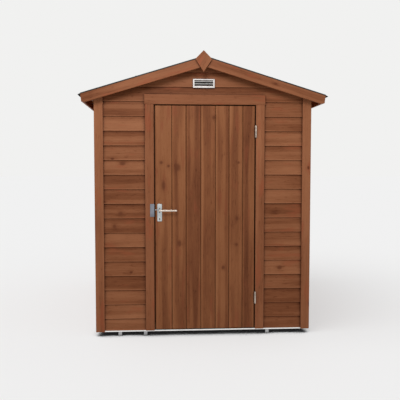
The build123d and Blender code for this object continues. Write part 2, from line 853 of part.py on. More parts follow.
# Levers: a neck, an arm along the door and a return at its end, drawn in plan
plate_face = door_face + backplate_thickness
arm_face = plate_face + lever_stand_off
with BuildPart() as outer_lever:
    with BuildSketch(Plane.XZ.offset(plate_face + seat)):
        with Locations((spindle_place, spindle_height)):
            Circle(lever_neck_radius)
    extrude(amount=lever_stand_off - lever_thickness / 2)
    with BuildSketch(Plane.XY.offset(spindle_height)):
        with BuildLine():
            Polyline(
                (spindle_place - lever_height / 2, lever_thickness - arm_face),
                (spindle_place - lever_height / 2, -arm_face),
                (spindle_place - lever_height / 2 + lever_length, -arm_face),
                (spindle_place - lever_height / 2 + lever_length, lever_return - arm_face),
                (spindle_place - lever_height / 2 + lever_length - lever_thickness, lever_return - arm_face),
                (spindle_place - lever_height / 2 + lever_length - lever_thickness, lever_thickness - arm_face),
                close=True,
            )
        make_face()
    extrude(amount=lever_height / 2, both=True)
    fillet(outer_lever.edges().filter_by(Axis.Z).sort_by(Axis.Y)[:2], lever_thickness * 0.8)
    fillet(outer_lever.faces().sort_by(Axis.Y)[0].edges().filter_by(Axis.X), lever_thickness / 3)
outer_lever.part.label = "outer_lever"
export_step(outer_lever.part, "parts/outer_lever.step")

with BuildPart() as inner_lever:
    add(outer_lever.part.mirror(door_middle_plane))
inner_lever.part.label = "inner_lever"
export_step(inner_lever.part, "parts/inner_lever.step")

# The spindle runs through the door from one lever's neck to the other's
spindle_length = door_face - door_back + 2 * (backplate_thickness + seat)
with BuildPart() as lock_spindle:
    with BuildSketch(Plane.XZ.offset(door_back - backplate_thickness - seat)):
        with Locations((spindle_place, spindle_height)):
            Circle(spindle_radius)
    extrude(amount=spindle_length)
lock_spindle.part.label = "lock_spindle"
export_step(lock_spindle.part, "parts/lock_spindle.step")

# Latch: a tube let into the edge of the stile, and the bolt that slides in it
with BuildPart() as latch_tube:
    with BuildSketch(latch_plane):
        Circle(latch_tube_radius)
    extrude(amount=latch_tube_length)
    with BuildSketch(latch_plane):
        Rectangle(latch_plate_width, latch_plate_height)
    extrude(amount=latch_plate_thickness)
    with BuildSketch(latch_plane):
        Circle(latch_bolt_radius + latch_clearance)
    extrude(amount=latch_tube_length, mode=Mode.SUBTRACT)
latch_tube.part.label = "latch_tube"
export_step(latch_tube.part, "parts/latch_tube.step")

with BuildPart() as latch_bolt:
    with BuildSketch(latch_plane.offset(-latch_bolt_reach)):
        Circle(latch_bolt_radius)
    extrude(amount=latch_bolt_length)
    chamfer(latch_bolt.edges().sort_by(Axis.X)[0], latch_bolt_reach / 2)
latch_bolt.part.label = "latch_bolt"
export_step(latch_bolt.part, "parts/latch_bolt.step")

# Strike plate: on the face of the left jamb, with a lip that turns in along its edge
strike_middle = spindle_height + strike_above_spindle - strike_height / 2
with BuildPart() as strike_plate:
    with BuildSketch(Plane.XY.offset(strike_middle - strike_height / 2)):
        with Locations((doorway_left + strike_lip_thickness, -casing_face)):
            Rectangle(strike_width + strike_lip_thickness, strike_thickness, align=(Align.MAX, Align.MAX))
            Rectangle(strike_lip_thickness, strike_lip_depth, align=(Align.MAX, Align.MIN))
    extrude(amount=strike_height)
strike_plate.part.label = "strike_plate"
export_step(strike_plate.part, "parts/strike_plate.step")
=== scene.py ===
import json
import logging
import math
import random
from contextlib import contextmanager
from dataclasses import dataclass, field
from enum import Enum
from typing import Callable, Iterable, Iterator, Sequence

import bmesh
import bpy
from mathutils import Matrix, Vector, noise


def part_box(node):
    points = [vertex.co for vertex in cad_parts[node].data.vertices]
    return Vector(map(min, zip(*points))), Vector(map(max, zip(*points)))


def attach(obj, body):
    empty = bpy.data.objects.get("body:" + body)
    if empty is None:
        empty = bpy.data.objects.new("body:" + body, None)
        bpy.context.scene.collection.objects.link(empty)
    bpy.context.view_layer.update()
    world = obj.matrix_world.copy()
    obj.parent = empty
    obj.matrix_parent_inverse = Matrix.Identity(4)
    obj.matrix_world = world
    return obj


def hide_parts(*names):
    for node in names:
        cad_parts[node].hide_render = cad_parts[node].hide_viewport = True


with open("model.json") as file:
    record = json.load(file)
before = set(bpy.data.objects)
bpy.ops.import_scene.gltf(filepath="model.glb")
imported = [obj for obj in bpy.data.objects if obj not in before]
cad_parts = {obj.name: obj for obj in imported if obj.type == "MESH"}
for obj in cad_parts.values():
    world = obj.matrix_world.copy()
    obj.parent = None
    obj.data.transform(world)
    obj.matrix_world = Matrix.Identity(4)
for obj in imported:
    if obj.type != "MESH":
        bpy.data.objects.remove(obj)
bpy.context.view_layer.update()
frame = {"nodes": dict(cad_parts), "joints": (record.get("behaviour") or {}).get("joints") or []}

log = logging.getLogger("shed")
Piece = bpy.types.Object
Material = bpy.types.Material
Socket = bpy.types.NodeSocket
Colour = tuple[float, float, float, float]
Point = Sequence[float]
Inputs = dict[str | int, object]
WHITE = (1.0, 1.0, 1.0, 1.0)
NEAR = 1e-5  # metres: places closer than this are the same
CLEAR = 0.01  # metres: how far a cutter reaches past what it cuts


# Sizes that more than one sub-assembly uses


@dataclass(frozen=True)
class Plan:
    """The shed's main sizes, in metres, read from the frame where it has them."""

    half_width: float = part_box("back_wall")[1].x
    half_depth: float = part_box("back_wall")[1].y
    base_top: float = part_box("back_wall")[0].z
    eaves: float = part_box("left_wall")[1].z
    boarding: float = 0.016
    pitch: float = math.radians(17.0)
    lap_datum: float = 2.015
    exposure: float = 0.1243
    overlap: float = 0.015

    def deck_under(self, x: float) -> float:
        """Height of the roof deck's underside at a distance from the middle."""
        return self.eaves + (self.half_width - abs(x)) * math.tan(self.pitch)

    def slope(self, side: int) -> Matrix:
        """The turn from level to the left slope of the roof, -1, or the right, 1."""
        return Matrix.Rotation(side * self.pitch, 4, "Y")


PLAN = Plan()


class Facing(Enum):
    """The way a wall faces, as its turn from the front in degrees."""

    FRONT = 0
    RIGHT = 90
    BACK = 180
    LEFT = 270

    def turn(self) -> Matrix:
        """The turn that brings a piece made for the front to this wall."""
        return turned(self.value, "Z")


# Shaping tools


def pick(obj: Piece) -> None:
    """Selects one object alone and makes it the active one.

    Args:
        obj: the object.
    """
    bpy.ops.object.select_all(action="DESELECT")
    obj.select_set(True)
    bpy.context.view_layer.objects.active = obj


@contextmanager
def editing(obj: Piece) -> Iterator[None]:
    """Opens a piece in edit mode with nothing selected, and closes it again.

    Args:
        obj: the piece to edit.

    Yields:
        Nothing, while the piece is open.
    """
    pick(obj)
    bpy.ops.object.mode_set(mode="EDIT")
    bpy.ops.mesh.select_all(action="DESELECT")
    yield
    bpy.ops.object.mode_set(mode="OBJECT")


class Part(Enum):
    """A kind of mesh part, as edit mode names it."""

    FACE = "FACE"
    EDGE = "EDGE"


def choose(obj: Piece, kind: Part, test: Callable[[object], bool]) -> None:
    """Selects the faces or the edges of the open piece that pass a test.

    Args:
        obj: the piece that is open in edit mode.
        kind: faces or edges.
        test: says whether a face or an edge is wanted.
    """
    bpy.ops.mesh.select_mode(type=kind.value)
    bpy.ops.mesh.select_all(action="DESELECT")
    mesh = bmesh.from_edit_mesh(obj.data)
    for part in mesh.faces if kind is Part.FACE else mesh.edges:
        part.select_set(test(part))
    bmesh.update_edit_mesh(obj.data)


def span(edge: bmesh.types.BMEdge) -> Vector:
    """How far an edge reaches along each axis."""
    first, second = (vert.co for vert in edge.verts)
    return Vector(abs(b - a) for a, b in zip(first, second))


def shift(x: float = 0.0, y: float = 0.0, z: float = 0.0) -> Matrix:
    """A move along the three axes."""
    return Matrix.Translation((x, y, z))


def turned(degrees: float, axis: str) -> Matrix:
    """A turn about one axis."""
    return Matrix.Rotation(math.radians(degrees), 4, axis)


def block(name: str, low: Point, high: Point) -> Piece:
    """Adds a block that fills a box.

    Args:
        name: the piece's name.
        low: the box's lowest corner.
        high: the box's highest corner.

    Returns:
        The block, with its place in its mesh.
    """
    low, high = Vector(low), Vector(high)
    bpy.ops.object.select_all(action="DESELECT")
    bpy.ops.mesh.primitive_cube_add(size=1, location=(low + high) / 2)
    obj = bpy.context.object
    obj.name = name
    obj.scale = high - low
    bpy.ops.object.transform_apply(location=True, rotation=True, scale=True)
    return obj


def rod(name: str, start: Point, end: Point, radius: float, sides: int = 32) -> Piece:
    """Adds a round bar between two points.

    Args:
        name: the piece's name.
        start: the middle of one end.
        end: the middle of the other end.
        radius: the bar's radius.
        sides: the number of its flats.

    Returns:
        The bar, with its place in its mesh.
    """
    start, end = Vector(start), Vector(end)
    bpy.ops.object.select_all(action="DESELECT")
    bpy.ops.mesh.primitive_cylinder_add(
        vertices=sides, radius=radius, depth=(end - start).length, location=(start + end) / 2
    )
    obj = bpy.context.object
    obj.name = name
    obj.rotation_euler = (end - start).to_track_quat("Z", "Y").to_euler()
    bpy.ops.object.transform_apply(location=True, rotation=True, scale=True)
    return obj


def apply_modifier(obj: Piece, kind: str, **settings: object) -> None:
    """Adds a modifier to a piece and applies it.

    Args:
        obj: the piece.
        kind: the modifier's type.
        **settings: the modifier's settings by name.
    """
    pick(obj)
    bpy.ops.object.modifier_add(type=kind)
    modifier = obj.modifiers[-1]
    for name, value in settings.items():
        setattr(modifier, name, value)
    bpy.ops.object.modifier_apply(modifier=modifier.name)


def ease(obj: Piece, width: float, segments: int = 2) -> None:
    """Rounds every sharp edge of a piece.

    Args:
        obj: the piece.
        width: how far the rounding reaches from the edge.
        segments: the number of flats in the rounding.
    """
    apply_modifier(
        obj, "BEVEL", width=width, segments=segments, limit_method="ANGLE", angle_limit=math.radians(25)
    )


def cut(obj: Piece, point: Point, normal: Point) -> None:
    """Cuts away what lies beyond a plane and closes the cut.

    Args:
        obj: the piece to cut.
        point: a point on the plane.
        normal: the plane's normal, which points to the side that goes.
    """
    with editing(obj):
        bpy.ops.mesh.select_all(action="SELECT")
        settings = {"use_fill": True, "clear_outer": True, "threshold": 1e-6}
        bpy.ops.mesh.bisect(plane_co=point, plane_no=normal, **settings)


def subtract(obj: Piece, cutter: Piece) -> None:
    """Cuts one shape out of a piece and removes the cutter.

    Args:
        obj: the piece that keeps the hollow.
        cutter: the shape to cut out.
    """
    apply_modifier(obj, "BOOLEAN", operation="DIFFERENCE", solver="EXACT", object=cutter)
    bpy.data.objects.remove(cutter)


def copy_of(obj: Piece, change: Matrix) -> Piece:
    """Copies a piece with its own mesh and moves the copy's mesh.

    Args:
        obj: the piece to copy.
        change: the move or turn of the copy.

    Returns:
        The copy.
    """
    other = bpy.data.objects.new(obj.name, obj.data.copy())
    bpy.context.scene.collection.objects.link(other)
    other.data.transform(change)
    if change.determinant() < 0:
        other.data.flip_normals()
    return other


def scatter(obj: Piece, changes: Iterable[Matrix]) -> list[Piece]:
    """Puts a copy of a piece in each of several places and removes the first one.

    Args:
        obj: the piece to copy.
        changes: the move or turn of each copy.

    Returns:
        The copies.
    """
    copies = [copy_of(obj, change) for change in changes]
    bpy.data.objects.remove(obj)
    return copies


def join(name: str, pieces: Sequence[Piece]) -> Piece:
    """Joins several pieces into one.

    Args:
        name: the name of the joined piece.
        pieces: what is joined.

    Returns:
        The joined piece.
    """
    pick(pieces[0])
    for piece in pieces[1:]:
        piece.select_set(True)
    if len(pieces) > 1:
        bpy.ops.object.join()
    pieces[0].name = name
    pieces[0].data.name = name
    return pieces[0]


def smooth(obj: Piece, degrees: float = 35) -> None:
    """Shades a piece smoothly, apart from its sharp edges."""
    pick(obj)
    bpy.ops.object.shade_smooth_by_angle(angle=math.radians(degrees))


def eased_node(name: str, node: str, width: float, segments: int = 2) -> Piece:
    """Copies a node of the frame as a piece with clean faces and rounded edges.

    Args:
        name: the new piece's name.
        node: the node to copy.
        width: how far the rounding reaches from each edge.
        segments: the number of flats in the rounding.

    Returns:
        The new piece.
    """
    obj = bpy.data.objects.new(name, frame["nodes"][node].data.copy())
    bpy.context.scene.collection.objects.link(obj)
    with editing(obj):
        bpy.ops.mesh.select_all(action="SELECT")
        bpy.ops.mesh.remove_doubles(threshold=1e-5)
        bpy.ops.mesh.customdata_custom_splitnormals_clear()
        bpy.ops.mesh.dissolve_limited(angle_limit=math.radians(1))
    pick(obj)
    bpy.ops.object.shade_flat()
    ease(obj, width, segments)
    return obj


def middle_of(node: str) -> Vector:
    """The middle of a node's box."""
    low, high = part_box(node)
    return (low + high) / 2


def row(name: str, first: Piece, node: str, width: float) -> Piece:
    """Lays boards side by side from the front of a node to its back.

    Args:
        name: the name of the joined piece.
        first: the board at the front.
        node: the node that the boards fill.
        width: about how wide one board is.

    Returns:
        The boards as one piece.
    """
    low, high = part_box(node)
    count = round((high.y - low.y) / width)
    step = (high.y - low.y) / count
    return join(name, [first] + [copy_of(first, shift(y=step * i)) for i in range(1, count)])


# Grain


def loose_parts(mesh: bmesh.types.BMesh) -> list[list[bmesh.types.BMFace]]:
    """Finds the separate boards in a mesh.

    Args:
        mesh: the mesh of one or more boards.

    Returns:
        The faces of each board.
    """
    parts, seen = [], set()
    for first in mesh.faces:
        if first in seen:
            continue
        seen.add(first)
        part, waiting = [], [first]
        while waiting:
            face = waiting.pop()
            part.append(face)
            for edge in face.edges:
                for other in edge.link_faces:
                    if other not in seen:
                        seen.add(other)
                        waiting.append(other)
        parts.append(part)
    return parts


def lay_grain(obj: Piece, draw: random.Random) -> None:
    """Gives each board of a piece its own stretch of grain and its own tone.

    The map named Grain holds metres along and across the board. The map named Board holds the board's
    tone and how far across the board a point is, from 0 to 1.

    Args:
        obj: the piece of one or more boards.
        draw: the source of the random choices.
    """
    for layer in list(obj.data.uv_layers):
        obj.data.uv_layers.remove(layer)
    mesh = bmesh.new()
    mesh.from_mesh(obj.data)
    grain = mesh.loops.layers.uv.new("Grain")
    board = mesh.loops.layers.uv.new("Board")
    for part in loose_parts(mesh):
        longest = max((edge for face in part for edge in face.edges), key=lambda edge: edge.calc_length())
        along = (longest.verts[1].co - longest.verts[0].co).normalized()
        through = max(part, key=lambda face: face.calc_area()).normal
        across = along.cross(through).normalized()
        if across.z < -0.1 or (abs(across.z) <= 0.1 and across.x + across.y < 0):
            across = -across
        places = [across.dot(vert.co) for face in part for vert in face.verts]
        start, width = min(places), max(max(places) - min(places), 1e-6)
        offset = Vector((draw.uniform(0, 30), draw.uniform(0, 30)))
        tone = draw.random()
        for face in part:
            if abs(face.normal.dot(along)) > 0.7:
                first, second = across, through
            elif abs(face.normal.dot(through)) > 0.5:
                first, second = along, across
            else:
                first, second = along, through
            for loop in face.loops:
                place = loop.vert.co
                loop[grain].uv = Vector((first.dot(place), second.dot(place))) + offset
                loop[board].uv = (tone, (across.dot(place) - start) / width)
    mesh.to_mesh(obj.data)
    mesh.free()


# Finishes


def shade(red: int, green: int, blue: int) -> Colour:
    """A linear colour from red, green and blue as a paint chart gives them, 0 to 255.

    Args:
        red: its red.
        green: its green.
        blue: its blue.

    Returns:
        The colour in linear light.
    """

    def channel(value: int) -> float:
        """One channel in linear light."""
        part = value / 255
        return part / 12.92 if part <= 0.04045 else ((part + 0.055) / 1.055) ** 2.4

    return (channel(red), channel(green), channel(blue), 1.0)


class Graph:
    """A node tree, with short calls for the nodes that the finishes and the studio use."""

    def __init__(self, owner: Material | bpy.types.World) -> None:
        """Empties the node tree of a material or a world.

        Args:
            owner: the material or the world.
        """
        owner.use_nodes = True
        self.tree = owner.node_tree
        self.tree.nodes.clear()

    def feed(self, socket: Socket, value: object) -> None:
        """Links a socket into another, or sets its value.

        Args:
            socket: the input.
            value: the output that it takes, or its value.
        """
        if isinstance(value, Socket):
            self.tree.links.new(value, socket)
        else:
            socket.default_value = value

    def add(self, kind: str, inputs: Inputs | None = None, **settings: object) -> bpy.types.Node:
        """Adds a node.

        Args:
            kind: the node's type.
            inputs: what its inputs take, by their names or numbers.
            **settings: its settings by name.

        Returns:
            The node.
        """
        node = self.tree.nodes.new(kind)
        for name, value in settings.items():
            setattr(node, name, value)
        for name, value in (inputs or {}).items():
            self.feed(node.inputs[name], value)
        return node

    def math(self, operation: str, first: object, second: object = 0.0) -> Socket:
        """One sum on two values or sockets."""
        return self.add("ShaderNodeMath", {0: first, 1: second}, operation=operation).outputs[0]

    def mix(self, share: object, first: object, second: object) -> Socket:
        """Two colours mixed by a share."""
        return self.add("ShaderNodeMix", {0: share, 6: first, 7: second}, data_type="RGBA").outputs[2]

    def ramp(self, value: object, low: float, high: float, top: float = 1.0) -> Socket:
        """A soft rise from 0 at the low value to the top at the high value.

        Args:
            value: the value that the rise follows.
            low: where it is 0.
            high: where it is the top.
            top: its highest value.

        Returns:
            The share at the value.
        """
        (start, first), (end, last) = sorted(((low, 0.0), (high, top)))
        ends = {"From Min": start, "From Max": end, "To Min": first, "To Max": last}
        node = self.add("ShaderNodeMapRange", {"Value": value, **ends}, interpolation_type="SMOOTHSTEP")
        return node.outputs["Result"]

    def stretch(self, u: object, along: float, v: object, across: float) -> Socket:
        """A flat vector from two values, each with its own scale."""
        flat = {0: self.math("MULTIPLY", u, along), 1: self.math("MULTIPLY", v, across)}
        return self.add("ShaderNodeCombineXYZ", flat).outputs[0]

    def total(self, start: float, *terms: tuple[object, float]) -> Socket:
        """A sum of patterns, each with its own weight.

        Args:
            start: what the sum starts from.
            *terms: each pattern with its weight.

        Returns:
            The sum.
        """
        result = start
        for term, weight in terms:
            result = self.math("ADD", result, self.math("MULTIPLY", term, weight))
        return result

    def about(self, value: object) -> Socket:
        """A pattern from 0 to 1 as a difference from its middle."""
        return self.math("SUBTRACT", value, 0.5)

    def shades(self, value: object, colours: Sequence[Colour]) -> Socket:
        """A colour between several shades that are evenly spaced from 0 to 1.

        Args:
            value: where between the shades it is.
            colours: the shades.

        Returns:
            The colour.
        """
        node = self.add("ShaderNodeValToRGB", {0: value})
        stops = node.color_ramp.elements
        for i in range(1, len(colours) - 1):
            stops.new(i / (len(colours) - 1))
        for stop, colour in zip(stops, colours):
            stop.color = colour
        return node.outputs[0]

    def recess(self, reach: float, most: float, opening: float = 0.90, samples: int = 6) -> Socket:
        """A share of painted shade that rises from 0 on open faces to its most in corners and gaps.

        Args:
            reach: how near another surface has to be to count.
            most: the share deep in a gap.
            opening: how open a face is where the share begins.
            samples: how finely the openness is measured.

        Returns:
            The share.
        """
        node = self.add("ShaderNodeAmbientOcclusion", {"Distance": reach}, samples=samples)
        return self.ramp(node.outputs["AO"], opening, 0.40, most)

    def noise(self, vector: object, scale: float, detail: float = 4.0, dimensions: str = "3D") -> Socket:
        """Soft random variation, about 0.5 in the middle."""
        inputs = {"Vector": vector, "Scale": scale, "Detail": detail}
        return self.add("ShaderNodeTexNoise", inputs, noise_dimensions=dimensions).outputs[0]

    def cells(self, vector: object, scale: float, dimensions: str = "3D") -> tuple[Socket, Socket]:
        """Random cells: one value for each cell, and the distance from its middle.

        Args:
            vector: the place.
            scale: the number of cells to one unit.
            dimensions: in a plane or in space.

        Returns:
            The cell's value and the distance.
        """
        inputs = {"Vector": vector, "Scale": scale}
        node = self.add("ShaderNodeTexVoronoi", inputs, voronoi_dimensions=dimensions)
        values = self.add("ShaderNodeSeparateColor", {0: node.outputs["Color"]}).outputs
        return values[0], node.outputs["Distance"]

    def split(self, vector: object) -> bpy.types.bpy_prop_collection:
        """The three values of a vector."""
        return self.add("ShaderNodeSeparateXYZ", {0: vector}).outputs

    def map(self, name: str) -> tuple[Socket, Socket]:
        """The two values of one of the piece's own maps."""
        values = self.split(self.add("ShaderNodeUVMap", uv_map=name).outputs["UV"])
        return values[0], values[1]

    def place(self) -> Socket:
        """The place on the object, in metres."""
        return self.add("ShaderNodeTexCoord").outputs["Object"]

    def seen(self) -> Socket:
        """Tells what the camera sees, straight or by way of a shiny or clear face.

        Returns:
            1 for what is seen, and else 0.
        """
        rays = self.add("ShaderNodeLightPath").outputs
        straight = self.math("MAXIMUM", rays["Is Camera Ray"], rays["Is Glossy Ray"])
        return self.math("MAXIMUM", straight, rays["Is Transmission Ray"])


class Surface(Graph):
    """The node tree of one material."""

    def __init__(self, name: str) -> None:
        """Starts a material of the given name with a plain surface shader.

        Args:
            name: the material's name.
        """
        self.material = bpy.data.materials.new(name)
        super().__init__(self.material)
        self.shader = self.add("ShaderNodeBsdfPrincipled")
        self.add("ShaderNodeOutputMaterial", {"Surface": self.shader.outputs["BSDF"]})

    def set(self, inputs: Inputs) -> None:
        """Feeds the inputs of the surface shader."""
        for name, value in inputs.items():
            self.feed(self.shader.inputs[name], value)

    def relief(self, height: object, depth: float) -> None:
        """Raises the surface by a height pattern, with its depth in metres."""
        node = self.add("ShaderNodeBump", {"Strength": 1.0, "Distance": depth, "Height": height})
        self.set({"Normal": node.outputs["Normal"]})


@dataclass(frozen=True)
class Finish:
    """What every finish has: a name, and a way to lay its nodes."""

    name: str

    def material(self) -> Material:
        """Builds the finish.

        Returns:
            Its material.
        """
        g = Surface(self.name)
        self.lay(g)
        return g.material

    def lay(self, g: Surface) -> None:
        """Lays the nodes of the finish."""
        raise NotImplementedError


@dataclass(frozen=True)
class KnotSpot:
    """A knot at a given place on the front of the shed."""

    x: float
    z: float
    radius: float
    stretch_x: float = 1.0
    stretch_z: float = 1.0

    def reach(self, g: Graph, x: object, z: object) -> Socket:
        """The distance from the knot's middle, as a share of its radius.

        Args:
            g: the material's graph.
            x: the point's place along X.
            z: the point's height.

        Returns:
            The distance.
        """
        side = g.math("MULTIPLY", g.math("SUBTRACT", x, self.x), 1 / (self.radius * self.stretch_x))
        rise = g.math("MULTIPLY", g.math("SUBTRACT", z, self.z), 1 / (self.radius * self.stretch_z))
        squares = g.math("ADD", g.math("MULTIPLY", side, side), g.math("MULTIPLY", rise, rise))
        return g.math("SQRT", squares)


@dataclass(frozen=True)
class Figure:
    """One pattern in the grain, as noise or, with a fade, as a share."""

    along: float
    across: float
    detail: float = 2.0
    fade: tuple[float, float] | None = None
    most: float = 1.0
    weight: float = 0.0

    def over(self, g: Graph, u: object, v: object) -> Socket:
        """The pattern over a board.

        Args:
            g: the material's graph.
            u: metres along the board.
            v: metres across the board.

        Returns:
            The pattern, from 0 to 1.
        """
        value = g.noise(g.stretch(u, self.along, v, self.across), 1.0, self.detail, "2D")
        return g.ramp(value, *self.fade, self.most) if self.fade else value


# The patterns of all wood: cycles a metre along and across, and how much each darkens it
WANDER = Figure(1.1, 4.0)
STREAKS = Figure(1.3, 90.0, fade=(0.5, 0.75), weight=0.12)
FLECKS = Figure(16.0, 95.0, fade=(0.62, 0.76), weight=0.20)
FIBRES = Figure(9.0, 420.0, weight=0.40)
BLOTCH = Figure(2.2, 7.0, 3.0, weight=0.5)
BLUSH = Figure(3.0, 14.0, fade=(0.58, 0.74), most=0.5)
HALO_WEIGHT = 0.14
MIDDLE_TONE = 0.46

# Where each thing fades in: knots by distance, the painted highlights and the painted shade under the laps
# by the share of the board's width, the painted shade towards the bottom by its height in metres
KNOT_HEART, KNOT_HALO = (0.085, 0.045), (0.30, 0.06)
PLACED_HEART, PLACED_HALO = (1.9, 0.5, 0.8), (4.0, 0.9)
LAP_SHADE_BAND, EDGE_HIGHLIGHT_BAND = (0.66, 0.90), (0.08, 0.02)
SIDE_HIGHLIGHT_BAND, FAR_SIDE_HIGHLIGHT_BAND = (0.24, 0.05), (0.86, 0.98)
BOTTOM_SHADE_HEIGHTS = (1.5, 0.3)


@dataclass(frozen=True)
class Wood(Finish):
    """Softwood under a stain, or plain, with grain that follows each board."""

    shades: tuple[Colour, Colour, Colour, Colour]
    knot: Colour
    # the colour of the painted shade in corners, joints, gaps and under laps
    crevice_shade: Colour
    blush: Colour
    tone_spread: float = 0.36
    bands: float = 0.24
    band_pitch: float = 15.0
    knot_share: float = 0.08
    # strengths of the painted light: shade under the laps, highlights on the lower edge and the sides,
    # shade towards the bottom
    lap_shade: float = 0.0
    edge_highlight: float = 0.0
    side_highlight: float = 0.0
    bottom_shade: float = 0.0
    roughness: float = 0.6
    spots: tuple[KnotSpot, ...] = ()

    def knots(self, g: Graph, u: object, v: object) -> tuple[object, object]:
        """Scatters knots over the boards, and adds those that have a given place.

        Args:
            g: the material's graph.
            u: metres along the board.
            v: metres across the board.

        Returns:
            The share of knot and the share of dark grain round it.
        """
        chance, distance = g.cells(g.stretch(u, 4.2, v, 7.0), 1.0, "2D")
        present = g.math("GREATER_THAN", chance, 1 - self.knot_share)
        heart = g.math("MULTIPLY", present, g.ramp(distance, *KNOT_HEART))
        halo = g.math("MULTIPLY", present, g.ramp(distance, *KNOT_HALO))
        if self.spots:
            x, _, z = g.split(g.place())
        for spot in self.spots:
            reach = spot.reach(g, x, z)
            heart = g.math("MAXIMUM", heart, g.ramp(reach, *PLACED_HEART))
            halo = g.math("MAXIMUM", halo, g.ramp(reach, *PLACED_HALO))
        return heart, halo

    def painted_light(self, g: Graph, side: object) -> list[tuple[Socket, float]]:
        """Painted shade under the laps and towards the bottom, and painted highlights along the edges, as
        patterns that darken or lighten the boards.

        Args:
            g: the material's graph.
            side: how far across its board a point is, from 0 to 1.

        Returns:
            Each pattern with its weight.
        """
        terms = []
        # painted shade: the top of each board, under the lap of the board above, is darker
        if self.lap_shade:
            terms.append((g.ramp(side, *LAP_SHADE_BAND), self.lap_shade))
        # painted highlight: the lower edge of each board is lighter
        if self.edge_highlight:
            terms.append((g.ramp(side, *EDGE_HIGHLIGHT_BAND), -self.edge_highlight))
        # painted highlight: each board is lighter along its left side, and less so along its right
        if self.side_highlight:
            terms.append((g.ramp(side, *SIDE_HIGHLIGHT_BAND), -self.side_highlight))
            terms.append((g.ramp(side, *FAR_SIDE_HIGHLIGHT_BAND), -self.side_highlight / 2))
        # painted shade: darker towards the bottom
        if self.bottom_shade:
            terms.append((g.ramp(g.split(g.place())[2], *BOTTOM_SHADE_HEIGHTS), self.bottom_shade))
        return terms

    def lay(self, g: Surface) -> None:
        """Lays grain and knots over the stain's shades, with painted highlights on edges and painted shade
        in joints and laps.

        Args:
            g: the material's graph.
        """
        u, v = g.map("Grain")
        tone, side = g.map("Board")
        heart, halo = self.knots(g, u, v)
        bent = g.math("ADD", v, g.total(-0.015, (WANDER.over(g, u, v), 0.03), (halo, 0.006)))
        bands = Figure(0.5, self.band_pitch, 1.0, (0.40, 0.60)).over(g, u, bent)
        streaks, flecks, fibres = (figure.over(g, u, bent) for figure in (STREAKS, FLECKS, FIBRES))
        grey = g.total(
            MIDDLE_TONE,
            (g.about(tone), self.tone_spread),
            (g.about(bands), self.bands),
            (g.about(fibres), FIBRES.weight),
            (g.about(BLOTCH.over(g, u, v)), BLOTCH.weight),
            (streaks, STREAKS.weight),
            (flecks, FLECKS.weight),
            (halo, HALO_WEIGHT),
            *self.painted_light(g, side),
        )
        colour = g.mix(BLUSH.over(g, u, v), g.shades(grey, self.shades), self.blush)
        colour = g.mix(heart, colour, self.knot)
        rough = g.total(self.roughness - 0.06, (bands, 0.04), (fibres, 0.08))
        # painted shade: the wood darkens towards the crevice shade where it is closed in, in corners,
        # joints and under laps
        colour = g.mix(g.recess(0.036, 0.8), colour, self.crevice_shade)
        g.set({"Base Color": colour, "Roughness": rough, "Specular IOR Level": 0.15})
        g.relief(g.total(0.0, (fibres, 0.6), (streaks, -0.3), (heart, -0.4)), 0.0006)


@dataclass(frozen=True)
class Metal(Finish):
    """Satin, brushed or galvanised metal."""

    colour: Colour
    worn: Colour
    # the colour and the most share of the painted shade in corners and recesses
    recess_shade: Colour = shade(52, 50, 50)
    roughness: float = 0.3
    metallic: float = 1.0
    spangle: float = 0.0
    recess_shade_share: float = 0.7

    def lay(self, g: Surface) -> None:
        """Lays soft clouds and fine scratches over the metal, and paints shade into its corners and
        recesses.

        Args:
            g: the material's graph.
        """
        place = g.place()
        cloud = g.noise(place, 18.0)
        fine = g.noise(place, 900.0, 2.0)
        share = g.ramp(cloud, 0.35, 0.7)
        if self.spangle:
            share = g.mix(self.spangle, share, g.cells(place, 140.0)[0])
        colour = g.mix(share, self.colour, self.worn)
        rough = g.total(self.roughness - 0.05, (cloud, 0.1), (fine, 0.1))
        # painted shade: corners and recesses of the metal darken by how closed in they are
        colour = g.mix(g.recess(0.02, self.recess_shade_share), colour, self.recess_shade)
        g.set({"Base Color": colour, "Roughness": rough, "Metallic": self.metallic})
        g.relief(fine, 0.00005)


@dataclass(frozen=True)
class Felt(Finish):
    """Bitumen felt with a fine mineral face."""

    ground: Colour
    grit: Colour

    def lay(self, g: Surface) -> None:
        """Lays grit over the felt, thicker in some patches.

        Args:
            g: the material's graph.
        """
        place = g.place()
        grains, distance = g.cells(place, 520.0)
        share = g.math("MULTIPLY", grains, g.ramp(g.noise(place, 3.0), 0.2, 0.8))
        colour = g.mix(share, self.ground, self.grit)
        g.set({"Base Color": colour, "Roughness": 0.92, "Specular IOR Level": 0.25})
        g.relief(g.math("SUBTRACT", 1.0, distance), 0.0008)


@dataclass(frozen=True)
class Plastic(Finish):
    """Moulded plastic with faint weathering."""

    colour: Colour
    weathered: Colour

    def lay(self, g: Surface) -> None:
        """Lays faint clouds over the plastic.

        Args:
            g: the material's graph.
        """
        place = g.place()
        cloud = g.noise(place, 30.0)
        colour = g.mix(g.ramp(cloud, 0.4, 0.75), self.colour, self.weathered)
        g.set({"Base Color": colour, "Roughness": g.total(0.38, (cloud, 0.15))})
        g.relief(g.noise(place, 1400.0, 1.0), 0.00003)


